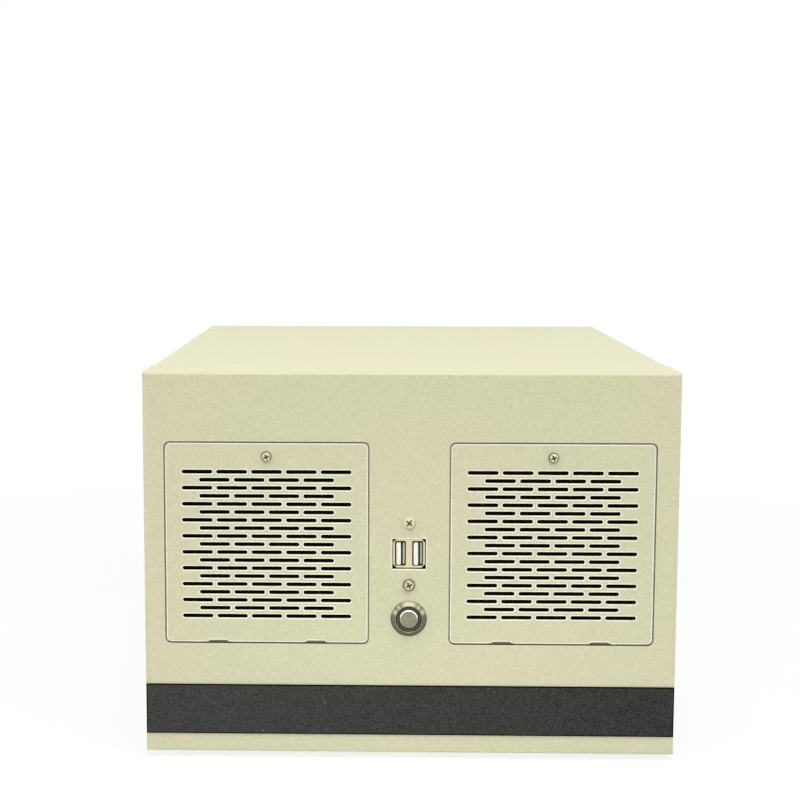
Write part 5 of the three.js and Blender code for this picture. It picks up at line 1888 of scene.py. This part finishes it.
@dataclass
class PushButton:
    """A metal push button: turned flange, dark ring and pressed cap.

    Attributes:
        flange: the flange's radius.
        rim: how far the flange's outer edge stands off the panel.
        barrel: the barrel's radius.
        bore: the radius of the bore that holds ring and cap.
        bore_depth: how deep the bore is, from the panel's face.
        lip: the width of the flat lip round the bore.
        break_edge: how much the lip's and the flange's edges are broken.
        gap: between the ring and the cap.
        ring_edge: how much the ring's edges are rounded.
        bevel: the width of the bright bevel round the cap's face.
        dish: how far the cap's face is hollowed.
        steps: how many steps a turn has.
        crease: edges of the flange sharper than this stay sharp in its shading, in degrees.
    """

    flange: float = 9.05 * MM
    rim: float = 0.2 * MM
    barrel: float = 8.0 * MM
    bore: float = 6.4 * MM
    bore_depth: float = 8.0 * MM
    lip: float = 0.38 * MM
    break_edge: float = 0.12 * MM
    gap: float = 0.3 * MM
    ring_edge: float = 0.15 * MM
    # bevel: the width of the bevel round the cap's face, whose brighter steel is painted highlight.
    bevel: float = 0.62 * MM
    dish: float = 0.12 * MM
    steps: int = 96
    crease: float = 25.0

    def __post_init__(self) -> None:
        """Find the middle of its front."""
        self.room = Room.of("button_housing")
        self.centre = self.room.front

    def build(self) -> None:
        """Model flange and barrel, ring and cap."""
        spot = (self.centre.x, self.centre.z)
        # Where the painted shade at the flange's rim lies.
        edge = (self.flange - 1.0 * MM, self.flange - 0.2 * MM)
        polished = TurnedSteel("polished_flange", "75725f", "stainless", 0.24, *spot, "636050", edge)
        brushed = TurnedSteel("brushed_cap", "807e6a", "stainless", 0.28, *spot, "6b695a", stain=1.3)
        self._housing(polished)
        self._ring()
        self._cap(brushed)

    def _depths(self, node: str) -> tuple[float, float, float]:
        """Return a solid's radius, and how far its front and its back lie behind the centre."""
        room = Room.of(node)
        return room.size.x / 2, room.low.y - self.centre.y, room.high.y - self.centre.y

    def _housing(self, finish: Finish) -> None:
        """Spin the flange with its cone, and the barrel behind the panel.

        Args:
            finish: what they are made of.
        """
        flange, bore, broken = self.flange, self.bore, self.break_edge
        proud = Room.of("front_panel").low.y - self.room.low.y
        foot = proud - self.rim
        length = self.room.size.y
        deep = proud + self.bore_depth
        profile = [
            (0.0, length),
            (self.barrel, length),
            (self.barrel, proud),
            (flange, proud),
            (flange, foot + 0.1 * MM),
            (flange - broken, foot - 0.02 * MM),
            (bore + self.lip + 0.17 * MM, broken),
            (bore + self.lip, 0.0),
            (bore + broken, 0.0),
            (bore, broken),
            (bore, deep),
            (0.0, deep),
        ]
        housing = Bench.turned("button_housing_dressed", self.centre, profile, self.steps)
        Bench.done(housing, finish, "chassis", "button_housing", crease=self.crease)

    def _ring(self) -> None:
        """Spin the dark ring round the cap."""
        outer, near, far = self._depths("button_ring")
        inner = self._depths("button_cap")[0] + self.gap
        edge = self.ring_edge
        profile = [
            (inner, near + edge),
            (inner + edge, near),
            (outer - edge, near),
            (outer, near + edge),
            (outer, far),
            (inner, far),
            (inner, near + edge),
        ]
        ring = Bench.turned("button_ring_dressed", self.centre, profile, self.steps)
        Bench.done(ring, SEAL, "chassis", "button_ring")

    def _cap(self, finish: Finish) -> None:
        """Spin the slightly dished cap and set its bevel apart for a painted highlight.

        Args:
            finish: what its face is made of.
        """
        rim, near, far = self._depths("button_cap")
        profile = [
            (0.0, near + self.dish),
            (rim * 0.5, near + self.dish * 0.75),
            (rim - 0.8 * MM, near + self.dish / 4),
            (rim - self.bevel, near),
            (rim - 0.12 * MM, near + 0.3 * MM),
            (rim, near + 0.5 * MM),
            (rim, far),
            (0.0, far),
        ]
        cap = Bench.turned("button_cap_dressed", self.centre, profile, self.steps)
        Bench.finish_room(cap)
        # The bevel takes brighter steel than the face, as painted highlight.
        inner = rim - self.bevel - 0.08 * MM
        with Bench.editing(cap) as pick:
            pick.faces(
                lambda face: 0.2 < -face.normal.y < 0.95
                and (face.calc_center_median().xz - self.centre.xz).length > inner
            )
            pick.give(1)
        Bench.done(cap, finish, "button", "button_cap", more=[BRIGHT])


# ------------------------------------------------------------------ Rear


@dataclass
class FanGuard:
    """A wire guard over the supply's fan: rings on two crossed bars with an eye at each end.

    Attributes:
        wire: the wire's diameter.
        rings: how many rings there are.
        reach: the outer ring's radius.
        eye: the radius of the eye at a bar's end.
        screw: the radius of the screw heads in the eyes.
        screw_length: the length of the screws.
        screw_rise: how far the top of a screw's head stands off the wire.
    """

    wire: float = 1.6 * MM
    rings: int = 4
    reach: float = 36.0 * MM
    eye: float = 2.6 * MM
    screw: float = 3.4 * MM
    screw_length: float = 5.0 * MM
    screw_rise: float = 0.6 * MM

    def __post_init__(self) -> None:
        """Find its middle and its eyes."""
        room = Room.of("supply_guard")
        self.middle = room.middle
        self.corner = room.size.x / 2 - self.wire
        ways = [(x, z) for x in (-1, 1) for z in (-1, 1)]
        self.ends = [Vector((x * self.corner, 0, z * self.corner)) for x, z in ways]

    def build(self) -> None:
        """Model the guard and its four screws."""
        self._guard()
        self._screws()

    def _guard(self) -> None:
        """Model rings, bars and eyes, and join them."""
        radii = [self.reach * (index + 1) / self.rings for index in range(self.rings)]
        pieces = [Bench.ring("ring", self.middle, radius, self.wire) for radius in radii]
        length = 2 * (math.sqrt(2) * self.corner - self.eye)
        for turn in (math.pi / 4, -math.pi / 4):
            bar = Bench.rod("bar", self.middle, self.wire / 2, length, Axis.X, sides=16)
            with Bench.editing(bar):
                bpy.ops.mesh.select_all(action="SELECT")
                bpy.ops.transform.rotate(value=turn, orient_axis="Y", center_override=self.middle)
            pieces.append(bar)
        eye = Bench.ring("eye", self.middle + self.ends[0], self.eye, self.wire)
        eyes = [Bench.copy(eye, "eye", end - self.ends[0]) for end in self.ends[1:]]
        guard = Bench.merge("supply_guard_dressed", *pieces, eye, *eyes)
        Bench.done(guard, BRIGHT, "chassis", "supply_guard")

    def _screws(self) -> None:
        """Model the first screw and copy it to the other eyes."""
        first = self.ends[0]
        top = self.middle + first + Vector((0, self.wire + self.screw_rise, 0))
        screw = PanScrew("screw", top, self.screw_length, ZINC, self.screw, way=-1, turn=15.0)
        model = screw.model()
        for number, end in enumerate(self.ends, start=1):
            twin = Bench.copy(model, f"guard_screw_{number}", end - first)
            screw.finished(twin, "chassis")
        bpy.data.objects.remove(model)


class Port(Enum):
    """What a rear socket takes."""

    JACKS = "three jacks, one above the other"
    NETWORK = "a network plug above two flat plugs"
    SERIAL = "a nine-pin plug"
    ROUND = "two round plugs"


REAR_PORTS: dict[Port, tuple[str, ...]] = {
    Port.JACKS: ("audio_socket",),
    Port.NETWORK: ("network_socket_1", "network_socket_2"),
    Port.SERIAL: ("serial_socket_1", "serial_socket_2"),
    Port.ROUND: ("keyboard_socket",),
}


@dataclass
class RearSockets:
    """The metal shells of one kind on the board's rear edge, with the wells of their plugs.

    Sizes that are worked out in a method are in millimetres from the middle of the shell's rear face.

    Attributes:
        port: what they take.
        nodes: the solids they stand for.
        deep: how deep a well is.
        edge: how much a shell's edges are rounded.
    """

    port: Port
    nodes: tuple[str, ...]
    deep: float = 9.0 * MM
    edge: float = 0.25 * MM

    def __post_init__(self) -> None:
        """Find the first one's box, and keep a list of its pieces."""
        self.room = Room.of(self.nodes[0])
        self.pieces: list[tuple[str, bpy.types.Object, tuple[Finish, ...]]] = []

    def build(self) -> None:
        """Model the first socket, and copy it to every place."""
        shell = Bench.block("shell", self.room.low, self.room.high)
        self._keep("dressed", shell, ZINC, DARK_LINER_AND_PAINTED_SHADE)
        wells = {
            Port.JACKS: self._jacks,
            Port.NETWORK: self._network,
            Port.SERIAL: self._serial,
            Port.ROUND: self._rounds,
        }[self.port]()
        for well in wells:
            Bench.cut(shell, well, finish=1)
        Bench.round_edges(shell, self.edge, 2)
        for node in self.nodes:
            by = Room.of(node).low - self.room.low
            for name, piece, (finish, *more) in self.pieces:
                twin = Bench.copy(piece, f"{node}_{name}", by)
                stands_for = [node] if piece is shell else []
                Bench.done(twin, finish, "chassis", *stands_for, more=more)
        for _, piece, _ in self.pieces:
            bpy.data.objects.remove(piece)

    def _keep(self, name: str, piece: bpy.types.Object, *finishes: Finish) -> None:
        """List a piece with its name and its finishes, to be copied to every place."""
        self.pieces.append((name, piece, finishes))

    def _place(self, x: float, z: float) -> Vector:
        """Return a point of the rear face, by its distances across and up from the middle."""
        return self.room.rear + Vector((x, 0, z)) * MM

    def _well(
        self, x: float, z: float, width: float, height: float, corner: float = 0.4
    ) -> bpy.types.Object:
        """Model the cutter of an oblong well.

        Args:
            x: its middle across.
            z: its middle's height.
            width: its width.
            height: its height.
            corner: its corners' radius.

        Returns:
            The cutter.
        """
        place = self._place(x, z)
        well = Bench.plate("well", place, width * MM, height * MM, -self.deep, MM)
        return round_corners(well, corner * MM, 3)

    def _inside(self, name: str, finish: Finish, *blocks: Sequence[float]) -> None:
        """Model blocks that stand in the wells.

        Args:
            name: what they are.
            finish: what they are made of.
            blocks: x, z, width and height of each, and how far its ends lie before the face.
        """
        pieces = []
        for x, z, width, height, near, far in blocks:
            place = self._place(x, z)
            piece = Bench.plate("inside", place, width * MM, height * MM, near * MM, far * MM)
            pieces.append(Bench.round_edges(piece, min(width, height) * MM / 6, 1))
        self._keep(name, Bench.merge("insides", *pieces), finish)

    def _collar(
        self, z: float, finish: Finish, radii: Sequence[float], front: float, sides: int
    ) -> bpy.types.Object:
        """Model the coloured collar of a round well, and return the well's cutter.

        Args:
            z: its middle's height.
            finish: what the collar is made of.
            radii: of its bore, of its face from inside to outside, and of its rim.
            front: how far its face stands off the shell.
            sides: how many sides the bore has.

        Returns:
            The cutter.
        """
        place = self._place(0, z)
        bore, inner, outer, rim = radii
        foot, shoulder = -1.0, front - 0.3
        points = [(bore, foot), (rim, foot), (rim, shoulder), (outer, front), (inner, front)]
        points += [(bore, shoulder), (bore, foot)]
        profile = [(radius * MM, depth * MM) for radius, depth in points]
        well = Bench.rod("bore", place, bore * MM, 2 * self.deep, sides=sides)
        self._keep(finish.name, Bench.turned("collar", place, profile), finish)
        return well

    def _jacks(self) -> list[bpy.types.Object]:
        """Model three jacks with coloured collars, and return the cutters of their wells."""
        rows = ((11.2, JACK_BLUE), (0.0, JACK_GREEN), (-11.2, JACK_PINK))
        return [self._collar(z, finish, (2.3, 2.6, 4.2, 4.6), 0.9, 32) for z, finish in rows]

    def _rounds(self) -> list[bpy.types.Object]:
        """Model two round wells with coloured collars and keys, and return their cutters."""
        rows = ((6.4, KEY_GREEN), (-6.4, KEY_VIOLET))
        wells = [self._collar(z, finish, (4.4, 4.7, 5.7, 6.0), 0.8, 40) for z, finish in rows]
        self._inside("keys", DARK, *((0, z, 2.2, 3.4, -8.5, -0.8) for z in (5.4, -7.4)))
        return wells

    def _network(self) -> list[bpy.types.Object]:
        """Model contacts and tongues, and return the cutters of their wells."""
        places = [(index - 3.5) * 1.02 for index in range(8)]
        self._inside("contacts", GOLD, *((x, 9.6, 0.4, 1.6, -8.0, -1.4) for x in places))
        self._inside("tongues", WHITE, *((0, z, 11.4, 1.8, -8.5, -0.6) for z in (-2.0, -9.2)))
        network = [self._well(0, 7.2, 11.8, 7.0), self._well(0, 3.2, 6.0, 2.2)]
        return network + [self._well(0, z, 13.2, 5.4) for z in (-3.2, -10.4)]

    def _serial(self) -> list[bpy.types.Object]:
        """Model the rim, the pins and the nuts, and return the cutter of the well."""
        rim, inner = self._well(0, 0, 18.6, 10.0, 2.6), self._well(0, 0, 16.6, 8.0, 2.0)
        for piece, further in ((rim, 0.6), (inner, 2.0)):
            with Bench.editing(piece) as pick:
                pick.facing(0, 1, 0)
                bpy.ops.transform.translate(value=(0, further * MM, 0))
        self._keep("rim", Bench.cut(rim, inner), BRIGHT)
        rows = [((index - 2) * 2.75, 1.4) for index in range(5)]
        rows += [((index - 1.5) * 2.75, -1.4) for index in range(4)]
        self._inside("pins", GOLD, *((x, z, 1.0, 1.0, -8.8, -2.0) for x, z in rows))
        ends = [self._place(x, 0) for x in (-12.5, 12.5)]
        nuts = [Bench.rod("nut", end, 2.4 * MM, 3 * MM, sides=6) for end in ends]
        holes = [Bench.rod("hole", end, 1.2 * MM, 4 * MM, sides=20) for end in ends]
        # The nuts' holes take dark steel as painted shade.
        pair = Bench.cut(Bench.merge("nuts", *nuts), *holes, finish=1)
        self._keep("nuts", Bench.round_edges(pair, 0.2 * MM, 1), BRIGHT, PAINTED_SHADE_RECESS)
        return [self._well(0, 0, 16.4, 7.8, 2.0)]


# ------------------------------------------------------------------ Studio


@dataclass(frozen=True)
class Lamp:
    """An oblong lamp that looks at the object's middle.

    Attributes:
        name: its name.
        power: its power in watts.
        size: its width and height.
        place: where it hangs, or where the right one of a pair does.
    """

    name: str
    power: float
    size: tuple[float, float]
    place: tuple[float, float, float]

    def hang(self, side: Side = Side.RIGHT) -> None:
        """Add the lamp.

        Args:
            side: which one of a pair it is.
        """
        light = bpy.data.lights.new(f"{self.name}_lamp", "AREA")
        light.energy = self.power
        light.shape = "RECTANGLE"
        light.size, light.size_y = self.size
        lamp = bpy.data.objects.new(f"{self.name}_lamp", light)
        x, y, z = self.place
        lamp.location = (x * side.sign, y, z)
        way = LAMPS_AIM - lamp.location
        lamp.rotation_euler = way.to_track_quat("-Z", "Y").to_euler()
        bpy.context.scene.collection.objects.link(lamp)


WHITE_LIGHT = (1.0, 1.0, 1.0, 1.0)
LAMPS_AIM = Vector((0, 0, 0.1))
LAMPS = (
    Lamp("key", power=31.5, size=(2.2, 1.1), place=(0.04, -0.9, 2.0)),
    Lamp("over", power=10.0, size=(1.0, 1.0), place=(0.0, -0.16, 2.2)),
    Lamp("low", power=0.035, size=(0.26, 0.03), place=(0.0, -0.33, 0.02)),
)
PAIRED_LAMPS = (
    Lamp("side", power=2.4, size=(0.36, 0.36), place=(1.35, -0.58, 0.4)),
    Lamp("upper", power=2.4, size=(0.36, 0.36), place=(1.13, -0.71, 1.04)),
    Lamp("rear", power=12.0, size=(0.8, 0.6), place=(1.5, 1.5, 0.4)),
)


@dataclass
class Studio:
    """Camera, floor, world and lamps.

    Attributes:
        eye: where the camera stands.
        turn: its turn about x, y and z, in degrees.
        lens: its focal length in millimetres.
        sensor: the width of its frame in millimetres.
        shift: how far its frame is shifted across, as a share of its width.
        sight: how far it sees.
        world: the light that comes from all sides.
        floor: the length of the floor's sides.
        floor_colour: the colour that its shadow and its light have.
        glow: the share of plain white in what the camera sees of the floor near the object.
        halo: how far out that share begins to rise, and where it is all.
    """

    eye: tuple[float, float, float] = (-0.01632, -0.95197, 0.27368)
    turn: tuple[float, float, float] = (83.39759, -0.05087, 1.36397)
    lens: float = 72.41751
    sensor: float = 36.0
    shift: float = 0.075
    sight: float = 50.0
    world: float = 0.12
    floor: float = 12.0
    floor_colour: tuple[float, float, float] = (0.92, 0.92, 0.91)
    glow: float = 0.85
    halo: tuple[float, float] = (0.35, 0.8)

    def build(self) -> None:
        """Set everything up."""
        self._camera()
        self._floor()
        self._world()
        self._lamps()
        bpy.context.scene.view_settings.view_transform = "Standard"

    def _camera(self) -> None:
        """Place the camera."""
        camera = bpy.data.cameras.new("camera")
        camera.lens = self.lens
        camera.shift_x = self.shift
        camera.sensor_width = self.sensor
        camera.clip_end = self.sight
        eye = bpy.data.objects.new("camera", camera)
        eye.location = self.eye
        eye.rotation_euler = [math.radians(angle) for angle in self.turn]
        bpy.context.scene.collection.objects.link(eye)
        bpy.context.scene.camera = eye

    def _floor(self) -> None:
        """Lay a large pale floor that the camera sees as nearly white, with the shadow on it."""
        Bench.clear()
        bpy.ops.mesh.primitive_plane_add(size=self.floor)
        floor = Bench.added("floor")
        shader = Shader("studio_floor")
        paint = shader.node("ShaderNodeBsdfDiffuse", None, {"Color": (*self.floor_colour, 1.0)})
        glow = shader.node("ShaderNodeEmission", None, {"Color": WHITE_LIGHT})
        x, y, _ = shader.place()
        far = (x * x + y * y).root().ramp(*self.halo)
        share = shader.seen() * (far * (1.0 - self.glow) + self.glow)
        both = shader.node("ShaderNodeMixShader", None, {0: share, 1: paint.out(), 2: glow.out()})
        shader.feed(shader.output.inputs["Surface"], both.out())
        floor.data.materials.append(shader.material)

    def _world(self) -> None:
        """Light the scene from all sides; camera, mirrors and glass see white."""
        world = bpy.data.worlds.new("studio")
        bpy.context.scene.world = world
        world.use_nodes = True
        nodes = Nodes(world.node_tree)
        background = nodes.tree.nodes["Background"]
        background.inputs["Color"].default_value = WHITE_LIGHT
        inputs = {"Value": nodes.seen(), "To Min": self.world}
        level = nodes.node("ShaderNodeMapRange", None, inputs)
        nodes.feed(background.inputs["Strength"], level.out("Result"))

    def _lamps(self) -> None:
        """Hang the lamps, and those of each pair on both sides."""
        for lamp in LAMPS:
            lamp.hang()
        for side in Side:
            for lamp in PAIRED_LAMPS:
                lamp.hang(side)


# ------------------------------------------------------------------ The computer


def dressed() -> set[str]:
    """Return the solids that new pieces stand for."""
    return {node for thing in bpy.data.objects for node in thing.get("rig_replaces", [])}


def main() -> None:
    """Build the studio and the computer."""
    logging.basicConfig(level=logging.INFO, format="%(message)s")
    Bench.clear()
    Studio().build()
    FrontPanel().build()
    BandStrip().build()
    FilterDoors().build()
    FrontScrews().build()
    UsbSocket().build()
    PushButton().build()
    FanGuard().build()
    for port, nodes in REAR_PORTS.items():
        RearSockets(port, nodes).build()
    for node in sorted(set(frame["nodes"]) - dressed()):
        Carried(node).build()


if __name__ == "__main__":
    main()
